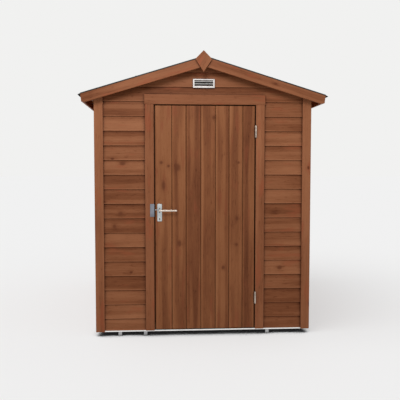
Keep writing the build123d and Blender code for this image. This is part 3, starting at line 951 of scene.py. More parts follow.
DOOR_KNOTS = (
    KnotSpot(-0.364, 1.498, 0.010),
    KnotSpot(-0.302, 1.468, 0.009),
    KnotSpot(-0.226, 1.456, 0.019, stretch_z=1.3),
    KnotSpot(0.298, 1.498, 0.009),
    KnotSpot(0.087, 1.881, 0.011),
    KnotSpot(0.287, 1.016, 0.010, stretch_z=1.4),
    KnotSpot(-0.210, 0.803, 0.013, stretch_z=1.7),
    KnotSpot(0.167, 0.590, 0.010, stretch_z=1.3),
    KnotSpot(-0.345, 1.302, 0.012, stretch_z=2.6),
    KnotSpot(0.284, 0.790, 0.009),
)
WALL_KNOTS = (
    KnotSpot(-0.693, 1.490, 0.013, stretch_x=1.5),
    KnotSpot(-0.713, 1.063, 0.012, stretch_x=1.3),
    KnotSpot(-0.765, 0.952, 0.012),
    KnotSpot(0.666, 0.581, 0.013, stretch_x=1.3),
)


def made(finish: Finish) -> Material:
    """A field that holds the material of a finish."""
    return field(default_factory=finish.material)


@dataclass
class Finishes:
    """Every finish of the shed, built once and shared."""

    boarding: Material = made(
        Wood(
            "boarding_stain",
            shades=(shade(167, 109, 74), shade(152, 96, 63), shade(128, 75, 45), shade(93, 46, 20)),
            knot=shade(102, 54, 30),
            crevice_shade=shade(46, 9, 1),
            blush=shade(150, 80, 50),
            lap_shade=0.14,
            edge_highlight=0.25,
            spots=WALL_KNOTS,
        )
    )
    trim: Material = made(
        Wood(
            "trim_stain",
            shades=(shade(168, 110, 75), shade(155, 98, 65), shade(136, 82, 52), shade(101, 53, 26)),
            knot=shade(106, 56, 31),
            crevice_shade=shade(46, 9, 1),
            blush=shade(154, 80, 51),
            tone_spread=0.3,
            bands=0.2,
            bottom_shade=0.16,
            knot_share=0.05,
        )
    )
    door: Material = made(
        Wood(
            "door_stain",
            shades=(shade(156, 101, 65), shade(142, 88, 54), shade(118, 68, 40), shade(84, 41, 18)),
            knot=shade(98, 52, 29),
            crevice_shade=shade(34, 8, 1),
            blush=shade(136, 73, 46),
            tone_spread=0.16,
            bands=0.34,
            band_pitch=13.0,
            knot_share=0.03,
            side_highlight=0.22,
            spots=DOOR_KNOTS,
        )
    )
    inside: Material = made(
        Wood(
            "inside_wood",
            shades=(shade(198, 160, 118), shade(182, 140, 98), shade(156, 112, 74), shade(112, 72, 44)),
            knot=shade(98, 60, 38),
            crevice_shade=shade(60, 36, 20),
            blush=shade(178, 128, 92),
            roughness=0.7,
        )
    )
    felt: Material = made(Felt("roofing_felt", ground=shade(44, 45, 44), grit=shade(92, 93, 90)))
    pale_metal: Material = made(
        Metal("pale_metal", shade(252, 252, 251), shade(244, 244, 242), roughness=0.26, recess_shade_share=0.05)
    )
    galvanised: Material = made(
        Metal("galvanised_steel", shade(196, 196, 196), shade(160, 161, 163), roughness=0.42, spangle=0.5)
    )
    zinc: Material = made(
        Metal("zinc_steel", shade(136, 138, 147), shade(118, 120, 129), roughness=0.42, metallic=0.85)
    )
    hinge: Material = made(
        Metal("plated_hinge", shade(198, 182, 168), shade(172, 158, 146), roughness=0.36, metallic=0.85)
    )
    dark_steel: Material = made(
        Metal("dark_screw_steel", shade(92, 90, 92), shade(70, 68, 70), roughness=0.45)
    )
    satin: Material = made(Metal("satin_plate", shade(200, 204, 204), shade(176, 180, 182), roughness=0.28))
    lever: Material = made(Metal("satin_lever", shade(214, 202, 190), shade(198, 184, 172), roughness=0.36))
    vent: Material = made(Plastic("vent_plastic", shade(236, 231, 228), shade(218, 212, 208)))
    # painted shade: the louvre's plastic is darker than the frame's, to stand for the shade on the slats
    louvre: Material = made(Plastic("vent_louvre", shade(190, 187, 184), shade(168, 165, 162)))


def dress(
    obj: Piece,
    finish: Material,
    body: str = "root",
    stands_for: Sequence[str] = (),
    back: Material | None = None,
    outward: Point = (0, -1, 0),
) -> None:
    """Gives a finished piece its finish and the body it rides on.

    Args:
        obj: the piece.
        finish: its material.
        body: the body that it moves with.
        stands_for: the nodes of the frame that it replaces.
        back: another material for the faces that look the other way.
        outward: the way the finished side looks.
    """
    obj.data.materials.clear()
    obj.data.materials.append(finish)
    if back is not None:
        obj.data.materials.append(back)
        for face in obj.data.polygons:
            face.material_index = 1 if face.normal.dot(Vector(outward)) < -0.6 else 0
    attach(obj, body)
    if stands_for:
        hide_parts(*stands_for)
    log.info("%s: %d faces, on %s", obj.name, len(obj.data.polygons), body)


def timber(
    name: str,
    node: str,
    draw: random.Random,
    finish: Material,
    body: str = "root",
    arris: float = 0.0015,
    segments: int = 2,
) -> None:
    """Makes a node of the frame into timber with rounded edges and its own grain.

    Args:
        name: the piece's name.
        node: the node that it replaces.
        draw: the source of the random choices for its grain.
        finish: its material.
        body: the body that it moves with.
        arris: how far the rounding reaches from each edge.
        segments: the number of flats in the rounding.
    """
    piece = eased_node(name, node, arris, segments)
    lay_grain(piece, draw)
    dress(piece, finish, body, stands_for=[node])


def keep_node(node: str, finish: Material) -> None:
    """Gives a node of the frame that stays as it is its finish.

    Args:
        node: the node.
        finish: its material.
    """
    obj = frame["nodes"][node]
    obj.data.materials.clear()
    obj.data.materials.append(finish)
    log.info("%s: kept", node)


def screw_head(name: str, radius: float, height: float) -> Piece:
    """Models a countersunk screw head with a cross recess, looking to the front.

    Args:
        name: the piece's name.
        radius: the head's radius.
        height: how far it stands out.

    Returns:
        The head, standing on the plane y = 0.
    """
    head = rod(name, (0, 0.001, 0), (0, -height, 0), radius, sides=16)
    ease(head, height * 0.45, 2)
    half, slim = radius * 0.55, radius * 0.12
    slot = block("slot", (-half, -height - 0.001, -slim), (half, -height * 0.35, slim))
    other = copy_of(slot, turned(90, "Y"))
    subtract(head, slot)
    subtract(head, other)
    return head


# Base and floor


@dataclass
class Base:
    """Metal feet and rails under the shed, and the timber floor on them."""

    finishes: Finishes
    draw: random.Random
    foot_arris: float = 0.0012
    rail_arris: float = 0.0015
    floor_arris: float = 0.0012
    floor_board: float = 0.1204
    floor_gap: float = 0.0008

    def build(self) -> None:
        """Builds the feet, rails, joists and floor boards."""
        feet = eased_node("feet", "base_feet", self.foot_arris)
        dress(feet, self.finishes.galvanised, stands_for=["base_feet"])
        rails = eased_node("rails", "base_rails", self.rail_arris)
        dress(rails, self.finishes.pale_metal, stands_for=["base_rails"])
        timber("joists", "floor_joists", self.draw, self.finishes.inside)
        self.floor()

    def floor(self) -> None:
        """Lays the floor boards across the joists."""
        low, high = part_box("floor_boards")
        end = low.y + self.floor_board - self.floor_gap
        first = block("floor", (low.x, low.y + self.floor_gap, low.z), (high.x, end, high.z))
        ease(first, self.floor_arris)
        floor = row("floor", first, "floor_boards", self.floor_board)
        lay_grain(floor, self.draw)
        dress(floor, self.finishes.inside, stands_for=["floor_boards"])


# Walls


@dataclass
class LappedWall:
    """One panel of overlapping boards, laid from the bottom up."""

    name: str
    node: str
    facing: Facing
    start: float
    end: float
    bottom: float
    top: float
    seed: int
    gable: bool = False
    thickness: float = 0.006
    lean: float = 0.010
    arris: float = 0.0022
    least_board: float = 0.4
    least_top: float = 0.02
    clearance: float = 0.0005

    def courses(self) -> list[tuple[float, float]]:
        """The foot and the height of each course.

        Returns:
            One pair of heights for each board.
        """
        steps = math.ceil((PLAN.lap_datum - self.bottom) / PLAN.exposure - self.least_board)
        feet = [self.bottom]
        lap = PLAN.lap_datum - (steps - 1) * PLAN.exposure if steps > 0 else self.bottom + PLAN.exposure
        while lap < self.top - self.least_top:
            feet.append(lap)
            lap += PLAN.exposure
        return [(foot, after + PLAN.overlap - foot) for foot, after in zip(feet, feet[1:] + [lap])]

    def board(self, depth: float, foot: float, height: float) -> Piece:
        """Models one board that leans back under the one above.

        Args:
            depth: the distance of the studs' face from the middle.
            foot: the height of its lower edge.
            height: its width up the wall.

        Returns:
            The board, as on the front wall.
        """
        face = depth + PLAN.boarding
        back = self.thickness - face
        board = block(self.name, (self.start, -face, foot), (self.end, back, foot + height))
        with editing(board):
            choose(board, Part.FACE, lambda f: f.normal.z > 0.9)
            bpy.ops.transform.translate(value=(0, self.lean, 0))
            choose(
                board,
                Part.EDGE,
                lambda e: all(v.co.z < foot + NEAR and v.co.y < back - NEAR for v in e.verts),
            )
            bpy.ops.mesh.bevel(offset=self.arris, segments=2, affect="EDGES")
        return board

    def build(self, finishes: Finishes, hole: tuple[Point, Point] | None = None) -> None:
        """Builds the panel and dresses it.

        Args:
            finishes: the shed's finishes.
            hole: the lowest and highest corner of an opening for the vent.
        """
        across = self.facing in (Facing.FRONT, Facing.BACK)
        depth = (PLAN.half_depth if across else PLAN.half_width) - PLAN.boarding
        full = PLAN.exposure + PLAN.overlap
        common = self.board(depth, 0, full)
        boards = []
        for foot, height in self.courses():
            if abs(height - full) < NEAR:
                piece = copy_of(common, shift(z=foot))
            else:
                piece = self.board(depth, foot, height)
            if hole and foot < hole[0][2] < foot + PLAN.exposure:
                subtract(piece, block("hole", *hole))
            if foot + height > PLAN.eaves:
                self.trim(piece)
            boards.append(piece)
        bpy.data.objects.remove(common)
        wall = join(self.name, boards)
        wall.data.transform(self.facing.turn())
        lay_grain(wall, random.Random(self.seed))
        outward = self.facing.turn() @ Vector((0, -1, 0))
        stain, slot = finishes.boarding, "stained_boarding"
        dress(wall, stain, stands_for=[self.node], back=finishes.inside, outward=outward)

    def trim(self, piece: Piece) -> None:
        """Cuts the top of a board to the roof.

        Args:
            piece: the board, as on the front wall.
        """
        if not self.gable:
            cut(piece, (0, 0, self.top - self.clearance), (0, 0, 1))
            return
        for side in (-1, 1):
            normal = (side * math.sin(PLAN.pitch), 0, math.cos(PLAN.pitch))
            cut(piece, (0, 0, PLAN.deck_under(0) - self.clearance), normal)


@dataclass
class Walls:
    """The four walls: boarding outside and framing inside."""

    finishes: Finishes
    draw: random.Random
    stud_arris: float = 0.0012

    def build(self) -> None:
        """Builds the six panels of boarding and the framing."""
        wide, deep = PLAN.half_width, PLAN.half_depth - PLAN.boarding
        left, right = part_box("front_wall_left")[1].x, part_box("front_wall_right")[0].x
        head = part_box("front_wall_left")[1].z
        apex = PLAN.deck_under(0)
        low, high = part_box("vent_frame")
        border = Vent.border
        beyond = 2 * PLAN.boarding
        vent_hole = (
            (low.x + border, -PLAN.half_depth - beyond, low.z + border),
            (high.x - border, -PLAN.half_depth + beyond, high.z - border + Vent.lift),
        )
        base, datum, eaves = PLAN.base_top, PLAN.lap_datum, PLAN.eaves
        front, back = Facing.FRONT, Facing.BACK
        panels = (
            LappedWall("boarding_front_left", "front_wall_left", front, -wide, left, base, head, 23046),
            LappedWall("boarding_front_right", "front_wall_right", front, right, wide, base, head, 56459),
            LappedWall("boarding_back", "back_wall", back, -wide, wide, base, apex, 3, gable=True),
            LappedWall("boarding_left", "left_wall", Facing.LEFT, -deep, deep, base, eaves, 4),
            LappedWall("boarding_right", "right_wall", Facing.RIGHT, -deep, deep, base, eaves, 5),
        )
        for panel in panels:
            panel.build(self.finishes)
        gable = "boarding_gable", "front_gable"
        over = LappedWall(*gable, front, -wide, wide, datum, apex, 15800, gable=True)
        over.build(self.finishes, vent_hole)
        for node in ("front_wall_frame", "back_wall_frame", "left_wall_frame", "right_wall_frame"):
            name = node.replace("wall_frame", "studs")
            timber(name, node, self.draw, self.finishes.inside, arris=self.stud_arris)


@dataclass
class Trim:
    """Corner boards, door casing and door stops."""

    finishes: Finishes
    draw: random.Random
    arris: float = 0.003
    stop_arris: float = 0.001

    def build(self) -> None:
        """Builds every trim board with rounded edges."""
        pieces = (
            ("corner_boards", "corners_front_back", 389),
            ("side_corner_boards", "corners_sides", 12),
            ("door_casing_left", "casing_left", 205),
            ("door_casing_right", "casing_right", 18),
            ("door_casing_head", "casing_head", 21),
        )
        for node, name, seed in pieces:
            draw = random.Random(seed)
            timber(name, node, draw, self.finishes.trim, arris=self.arris, segments=3)
        timber("stops", "door_stops", self.draw, self.finishes.door, arris=self.stop_arris)


# Roof


@dataclass
class Roof:
    """Deck boards, felt, eaves boards, bargeboards and finials."""

    finishes: Finishes
    draw: random.Random
    deck_board: float = 0.1001
    deck_thickness: float = 0.012
    deck_gap: float = 0.0006
    deck_vee: float = 0.003
    deck_spare: float = 0.03
    eaves_arris: float = 0.0025
    felt_thickness: float = 0.003
    lap_start: float = 0.50
    lap_end: float = 0.575
    lap_play: float = 0.0004
    ridge_play: float = 0.0006
    deck_play: float = 0.0001
    felt_inset: float = 0.0024
    drip_reach: float = 0.019
    drip_drop: float = 0.012
    drip_edge: float = 0.012
    drip_wave: float = 0.0035
    sheet_cuts: int = 15
    ripple: float = 0.0012
    ripple_start: float = 0.2
    ripple_fade: float = 0.2
    ripple_edge: float = 0.1
    hem_arris: float = 0.0018
    hem_out: float = 0.003
    hem_in: float = 0.008
    hem_drop: float = 0.002
    hem_rise: float = 0.0065
    nail_radius: float = 0.0045
    nail_step: float = 0.1
    nail_inset: float = 0.02
    edge_inset: float = 0.009
    ridge_nails: float = 0.135
    lap_nails: float = 0.012
    eaves_nails: float = 0.99
    gable_nails: int = 8
    gable_start: float = 0.2
    lap_skip: float = 0.02
    barge_arris: float = 0.003
    barge_seeds: tuple[tuple[str, int], ...] = (("front", 109), ("back", 40))
    finial_seeds: tuple[tuple[str, int], ...] = (("front", 63), ("back", 61))

    def build(self) -> None:
        """Builds the roof from the inside out."""
        timber("carriers", "roof_carriers", self.draw, self.finishes.inside)
        for side, word in ((-1, "left"), (1, "right")):
            self.deck(side, word)
            self.felt(side, word)
            node, trim, arris = f"eaves_board_{word}", self.finishes.trim, self.eaves_arris
            timber(f"eaves_{word}", node, self.draw, trim, arris=arris)
            for end, seed in self.barge_seeds:
                self.gable_board(f"barge_{end}_{word}", f"bargeboard_{end}_{word}", seed + side)
        for end, seed in self.finial_seeds:
            self.gable_board(f"diamond_{end}", f"finial_{end}", seed)
        self.ridge()
        self.nails()

    def gable_board(self, name: str, node: str, seed: int) -> None:
        """Makes a bargeboard or a finial, with the grain that its seed gives."""
        draw = random.Random(seed)
        timber(name, node, draw, self.finishes.trim, arris=self.barge_arris, segments=3)

    def deck(self, side: int, word: str) -> None:
        """Lays the boards of one slope from the ridge to the eaves.

        Args:
            side: -1 for the left slope and 1 for the right.
            word: the side as a word.
        """
        low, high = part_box(f"roof_deck_{word}")
        reach = max(abs(low.x), abs(high.x))
        start, end = sorted((-self.deck_spare * side, (reach + 0.1) * side))
        near, far = low.y + self.deck_gap, low.y + self.deck_board - self.deck_gap
        first = block("deck", (start, near, 0), (end, far, self.deck_thickness))
        with editing(first):
            choose(first, Part.EDGE, lambda e: all(v.co.z < NEAR for v in e.verts) and span(e).y < NEAR)
            bpy.ops.mesh.bevel(offset=self.deck_vee, segments=1, affect="EDGES")
        first.data.transform(shift(z=PLAN.deck_under(0)) @ PLAN.slope(side))
        cut(first, (0, 0, 0), (-side, 0, 0))
        cut(first, (side * reach, 0, 0), (side, 0, 0))
        deck = row(f"deck_{word}", first, f"roof_deck_{word}", self.deck_board)
        lay_grain(deck, self.draw)
        dress(deck, self.finishes.inside, stands_for=[f"roof_deck_{word}"])

    def top(self, x: float) -> float:
        """Height of the top of the deck at a distance from the middle."""
        return PLAN.deck_under(x) + self.deck_thickness / math.cos(PLAN.pitch)

    def felt_rise(self) -> float:
        """How much higher one thickness of felt makes the roof."""
        return self.felt_thickness / math.cos(PLAN.pitch)

    def sheet(self, name: str, profile: Sequence[Point], ripple: float) -> Piece:
        """Models a sheet of felt that follows a profile from front to back.

        Args:
            name: the piece's name.
            profile: the points of its underside in the plane of the gable, from the top down.
            ripple: how far its face may rise and fall.

        Returns:
            The sheet.
        """
        low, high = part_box("roof_felt_left")
        first, second = profile[:2]
        bpy.ops.object.select_all(action="DESELECT")
        bpy.ops.mesh.primitive_plane_add(size=2)
        obj = bpy.context.object
        obj.name = name
        for vert in obj.data.vertices:
            x, z = first if vert.co.x < 0 else second
            vert.co = (x, low.y if vert.co.y < 0 else high.y, z)
        for before, after in zip(profile[1:], profile[2:]):
            with editing(obj):
                last = Vector(before)
                choose(obj, Part.EDGE, lambda e: all((v.co.xz - last).length < NEAR for v in e.verts))
                bpy.ops.mesh.extrude_region_move(
                    TRANSFORM_OT_translate={"value": (after[0] - before[0], 0, after[1] - before[1])}
                )
        with editing(obj):
            bpy.ops.mesh.select_all(action="SELECT")
            bpy.ops.mesh.subdivide(number_cuts=self.sheet_cuts)
            bpy.ops.mesh.normals_make_consistent(inside=False)
        if sum(face.normal.z * face.area for face in obj.data.polygons) < 0:
            obj.data.flip_normals()
        edge = abs(profile[-1][0])
        for vert in obj.data.vertices:
            down = min(1.0, max(0.0, (abs(vert.co.x) - self.ripple_start) / self.ripple_fade))
            inward = min(1.0, (high.y - abs(vert.co.y)) / self.ripple_edge)
            vert.co.z += ripple * down * inward * (0.5 + 0.5 * noise.noise(vert.co * 3.1))
            if abs(vert.co.x) > edge - self.drip_edge:
                vert.co.z += self.drip_wave * noise.noise(Vector((0, vert.co.y * 5.0, edge)))
        apply_modifier(obj, "SOLIDIFY", thickness=self.felt_thickness, offset=1.0)
        return obj

    def felt(self, side: int, word: str) -> None:
        """Lays two strips of felt on one slope, the upper lapped over the lower.

        Args:
            side: -1 for the left slope and 1 for the right.
            word: the side as a word.
        """
        low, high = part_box(f"roof_felt_{word}")
        tip = max(abs(low.x), abs(high.x)) - self.felt_inset
        bend = tip - self.drip_reach
        lap, rise = self.lap_start, self.felt_rise() + self.lap_play

        def over_deck(points: Sequence[Point]) -> list[Point]:
            """Lays points, each with its lift, on the deck of this slope."""
            return [(side * x, self.top(x) + lift + self.deck_play) for x, lift in points]

        lower = over_deck([(lap, 0.0), (0.8, 0.0), (bend, 0.0)])
        lower.append((side * tip, self.top(bend) - self.drip_drop))
        upper = over_deck([(0.0, 0.0), (0.25, 0.0), (lap - 0.03, 0.0), (lap, rise), (self.lap_end, rise)])
        name = f"felt_{word}"
        strips = [self.sheet(name, lower, self.ripple), self.sheet(name, upper, 0.0)]
        felt = join(name, strips + self.hems(side, bend))
        smooth(felt, 30)
        dress(felt, self.finishes.felt, stands_for=[f"roof_felt_{word}"])

    def hems(self, side: int, reach: float) -> list[Piece]:
        """Models the turned edges of the felt over the bargeboards at the front and back.

        Args:
            side: -1 for the left slope and 1 for the right.
            reach: how far down the slope the hems go, measured from the middle.

        Returns:
            The front hem and the back hem.
        """
        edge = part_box("roof_felt_left")[0].y
        start, end = sorted((0.02 * side, reach / math.cos(PLAN.pitch) * side))
        low = (start, edge - self.hem_out, -self.hem_drop)
        front = block("hem", low, (end, edge + self.hem_in, self.hem_rise))
        ease(front, self.hem_arris, 2)
        front.data.transform(shift(z=self.top(0)) @ PLAN.slope(side))
        return [front, copy_of(front, Matrix.Scale(-1, 4, (0, 1, 0)))]

    def ridge(self) -> None:
        """Bends the ridge strip over the felt."""
        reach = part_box("ridge_strip")[1].x
        rise = self.felt_rise() + self.ridge_play
        places = (-reach, -0.08, -0.02, 0.0, 0.02, 0.08, reach)
        strip = self.sheet("ridge_felt", [(x, self.top(x) + rise) for x in places], 0.0)
        smooth(strip, 30)
        dress(strip, self.finishes.felt, stands_for=["ridge_strip"])

    def nails(self) -> None:
        """Drives clout nails along the edges and laps of the felt."""
        head = rod("felt_nails", (0, 0, -0.001), (0, 0, 0.0009), self.nail_radius, sides=10)
        ease(head, 0.0004, 1)
        front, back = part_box("roof_felt_left")[0].y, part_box("roof_felt_left")[1].y
        length = back - front - 2 * self.nail_inset
        count = int(length / self.nail_step)
        lift = self.felt_rise()
        rows = (
            (self.ridge_nails, 2 * lift + 0.0006),
            (self.lap_end - self.lap_nails, 2 * lift + 0.0008),
            (self.eaves_nails, lift + 0.0012),
        )
        along = [front + self.nail_inset + i * length / count for i in range(count + 1)]
        places = [(x, y, rise) for x, rise in rows for y in along]
        for y in (front + self.edge_inset, back - self.edge_inset):
            for i in range(self.gable_nails):
                skip = self.lap_skip if i >= self.gable_nails / 2 else 0
                places.append((self.gable_start + i * self.nail_step + skip, y, lift))
        changes = [
            shift(side * x, y, self.top(x) + rise) @ PLAN.slope(side)
            for side in (-1, 1)
            for x, y, rise in places
        ]
        nails = join("felt_nails", scatter(head, changes))
        dress(nails, self.finishes.galvanised)


# Vent


@dataclass
class Vent:
    """The louvred vent in the front gable."""

    finishes: Finishes
    border: float = 0.013
    lift: float = 0.003
    slat_count: int = 2
    slat_height: float = 0.0105
    slat_thickness: float = 0.0028
    slat_rise: float = 0.0035
    slat_turn: float = 45
    slat_hold: float = 0.0005
    slat_arris: float = 0.0005
    arris: float = 0.0018

    def build(self) -> None:
        """Builds the frame and the slats."""
        low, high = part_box("vent_frame")
        ring = block("vent_frame_piece", low, high)
        with editing(ring):
            choose(ring, Part.FACE, lambda f: abs(f.normal.y) > 0.9)
            bpy.ops.mesh.inset(thickness=self.border, use_boundary=True)
            bpy.ops.transform.translate(value=(0, 0, self.lift))
            bpy.ops.mesh.bridge_edge_loops()
        ease(ring, self.arris, 3)
        smooth(ring)
        dress(ring, self.finishes.vent, stands_for=["vent_frame"])
        middle = (low + high) / 2 + Vector((0, 0, self.lift + self.slat_rise))
        opening = high.z - low.z - 2 * self.border
        step = (opening + self.slat_height) / (self.slat_count + 1)
        left, right = low.x + self.border - self.slat_hold, high.x - self.border + self.slat_hold
        half, slim = self.slat_height / 2, self.slat_thickness / 2
        slat = block("slat", (left, -half, -slim), (right, half, slim))
        ease(slat, self.slat_arris)
        heights = [middle.z + (i - (self.slat_count - 1) / 2) * step for i in range(self.slat_count)]
        slats = scatter(slat, [shift(0, middle.y, z) @ turned(self.slat_turn, "X") for z in heights])
        louvre = join("vent_louvre", slats)
        dress(louvre, self.finishes.louvre, stands_for=["vent_slats"])


# Door


@dataclass
class Door:
    """The boarded door with its ledges behind."""

    finishes: Finishes
    draw: random.Random
    joints: tuple[float, ...] = (-0.274, -0.152, -0.026, 0.100, 0.217, 0.335)
    gap: float = 0.003
    vee: float = 0.0048
    tongue: float = 0.005
    tongue_inset: float = 0.001
    arris: float = 0.0006
    spindle_radius: float = 0.005
    key_drop: float = 0.072
    key_depth: float = 0.014
    key_radius: float = 0.0052
    seed: int = 12966

    def board(self, left: float, right: float) -> Piece:
        """Models one upright board with chamfered front edges.

        Args:
            left: its left edge.
            right: its right edge.

        Returns:
            The board.
        """
        low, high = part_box("door_boards")
        board = block("door_board", (left, low.y, low.z), (right, high.y, high.z))
        with editing(board):
            front = low.y + NEAR
            choose(board, Part.EDGE, lambda e: all(v.co.y < front for v in e.verts) and span(e).x < NEAR)
            bpy.ops.mesh.bevel(offset=self.vee, segments=1, affect="EDGES")
        ease(board, self.arris, 1)
        return board

    def build(self) -> None:
        """Builds the boards, and the stiles, rails and braces behind them."""
        low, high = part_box("door_boards")
        edges = [low.x - self.gap / 2, *self.joints, high.x + self.gap / 2]
        boards = [self.board(a + self.gap / 2, b - self.gap / 2) for a, b in zip(edges, edges[1:])]
        middle = middle_of("lock_spindle")
        x, key_z = middle.x, middle.z - self.key_drop
        ends = (x, low.y - CLEAR, middle.z), (x, high.y + CLEAR, middle.z)
        subtract(boards[0], rod("hole", *ends, self.spindle_radius))
        ends = (x, low.y - CLEAR, key_z), (x, low.y + self.key_depth, key_z)
        subtract(boards[0], rod("pocket", *ends, self.key_radius))
        depth = (low.y + high.y) / 2 + 0.001
        half, slim = self.gap / 2 + 0.0002, self.tongue / 2
        for joint in self.joints:
            corner = (joint - half, depth - slim, low.z + self.tongue_inset)
            boards.append(block("tongue", corner, (joint + half, depth + slim, high.z - self.tongue_inset)))
        face = join("door_face", boards)
        lay_grain(face, random.Random(self.seed))
        stain, back = self.finishes.door, self.finishes.inside
        dress(face, stain, "door", stands_for=["door_boards"], back=back)
        for node in ("door_stiles", "door_rails", "door_braces"):
            name = node.replace("door_", "door_frame_")
            timber(name, node, self.draw, self.finishes.inside, body="door")


@dataclass
class Hinges:
    """Two butt hinges with a leaf on the frame and a leaf on the door."""

    finishes: Finishes
    radius: float = 0.007
    pin: float = 0.003
    leaf: float = 0.0025
    leaf_width: float = 0.030
    knuckle_gap: float = 0.0004
    pin_play: float = 0.0003
    screw: tuple[float, float] = (0.0034, 0.0006)
    screw_shares: tuple[float, ...] = (0.16, 0.5, 0.84)
    tip: float = 0.005
    length: float = 0.100

    def knuckle(self, axis: Vector, bottom: float, top: float) -> Piece:
        """Models one knuckle.

        Args:
            axis: a point on the hinge's axis.
            bottom: its lower end.
            top: its upper end.

        Returns:
            The knuckle.
        """
        barrel = rod("knuckle", (axis.x, axis.y, bottom), (axis.x, axis.y, top), self.radius)
        ease(barrel, 0.0006, 2)
        return barrel

    def link(self, sides: Point, front: float, back: float, bottom: float, top: float) -> Piece:
        """Models the strip that joins a knuckle to its leaf.

        Args:
            sides: its left and right.
            front: its front, at the axis.
            back: its back, inside the leaf.
            bottom: the knuckle's lower end.
            top: the knuckle's upper end.

        Returns:
            The strip.
        """
        return block("link", (sides[0], front, bottom + 0.0005), (sides[1], back, top - 0.0005))

    def leaf_plate(self, low: Point, high: Point, screw_side: int) -> list[Piece]:
        """Models a leaf with three screws.

        Args:
            low: its lowest corner.
            high: its highest corner.
            screw_side: the way the screws look along X.

        Returns:
            The leaf and its screws.
        """
        plate = block("leaf", low, high)
        ease(plate, 0.0005, 1)
        screw = screw_head("screw", *self.screw)
        turn = turned(90 * screw_side, "Z")
        x = high[0] if screw_side > 0 else low[0]
        y = (low[1] + high[1]) / 2 + 0.002
        heights = [low[2] + (high[2] - low[2]) * share for share in self.screw_shares]
        return [plate, *scatter(screw, [shift(x, y, z) @ turn for z in heights])]

    def build(self) -> None:
        """Builds both hinges, the frame's part and the door's part."""
        frame_low, frame_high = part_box("hinge_frame_leaves")
        door_low, door_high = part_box("hinge_door_leaves")
        axis = Vector(next(j["pos_m"] for j in frame["joints"] if j["name"] == "door_hinge"))
        front = frame_high.y - self.leaf_width
        third = (self.length - 2 * self.knuckle_gap) / 3
        inner = front + 0.002
        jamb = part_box("front_wall_right")[0].x
        fixed, moving = (jamb - self.leaf, jamb), (door_low.x, door_low.x + self.leaf)
        frame_parts, door_parts = [], []
        for bottom in (frame_low.z + self.tip, frame_high.z - self.tip - self.length):
            top = bottom + self.length
            frame_parts += self.leaf_plate((fixed[0], front, bottom), (fixed[1], frame_high.y, top), -1)
            door_parts += self.leaf_plate((moving[0], front, bottom), (moving[1], door_high.y, top), 1)
            for start in (bottom, top - third):
                frame_parts.append(self.knuckle(axis, start, start + third))
                frame_parts.append(self.link(fixed, axis.y, inner, start, start + third))
            middle = bottom + third + self.knuckle_gap
            barrel = self.knuckle(axis, middle, middle + third)
            radius = self.pin + self.pin_play
            subtract(barrel, rod("bore", (axis.x, axis.y, bottom), (axis.x, axis.y, top), radius))
            door_parts += [barrel, self.link(moving, axis.y, inner, middle, middle + third)]
            ends = (axis.x, axis.y, bottom - self.tip), (axis.x, axis.y, top + self.tip)
            pin = rod("pin", *ends, self.pin)
            ease(pin, 0.0018, 3)
            frame_parts.append(pin)
        for name, parts, body, node in (
            ("hinge_frame_side", frame_parts, "root", "hinge_frame_leaves"),
            ("hinge_door_side", door_parts, "door", "hinge_door_leaves"),
        ):
            piece = join(name, parts)
            smooth(piece)
            dress(piece, self.finishes.hinge, body, stands_for=[node])


# Lock set


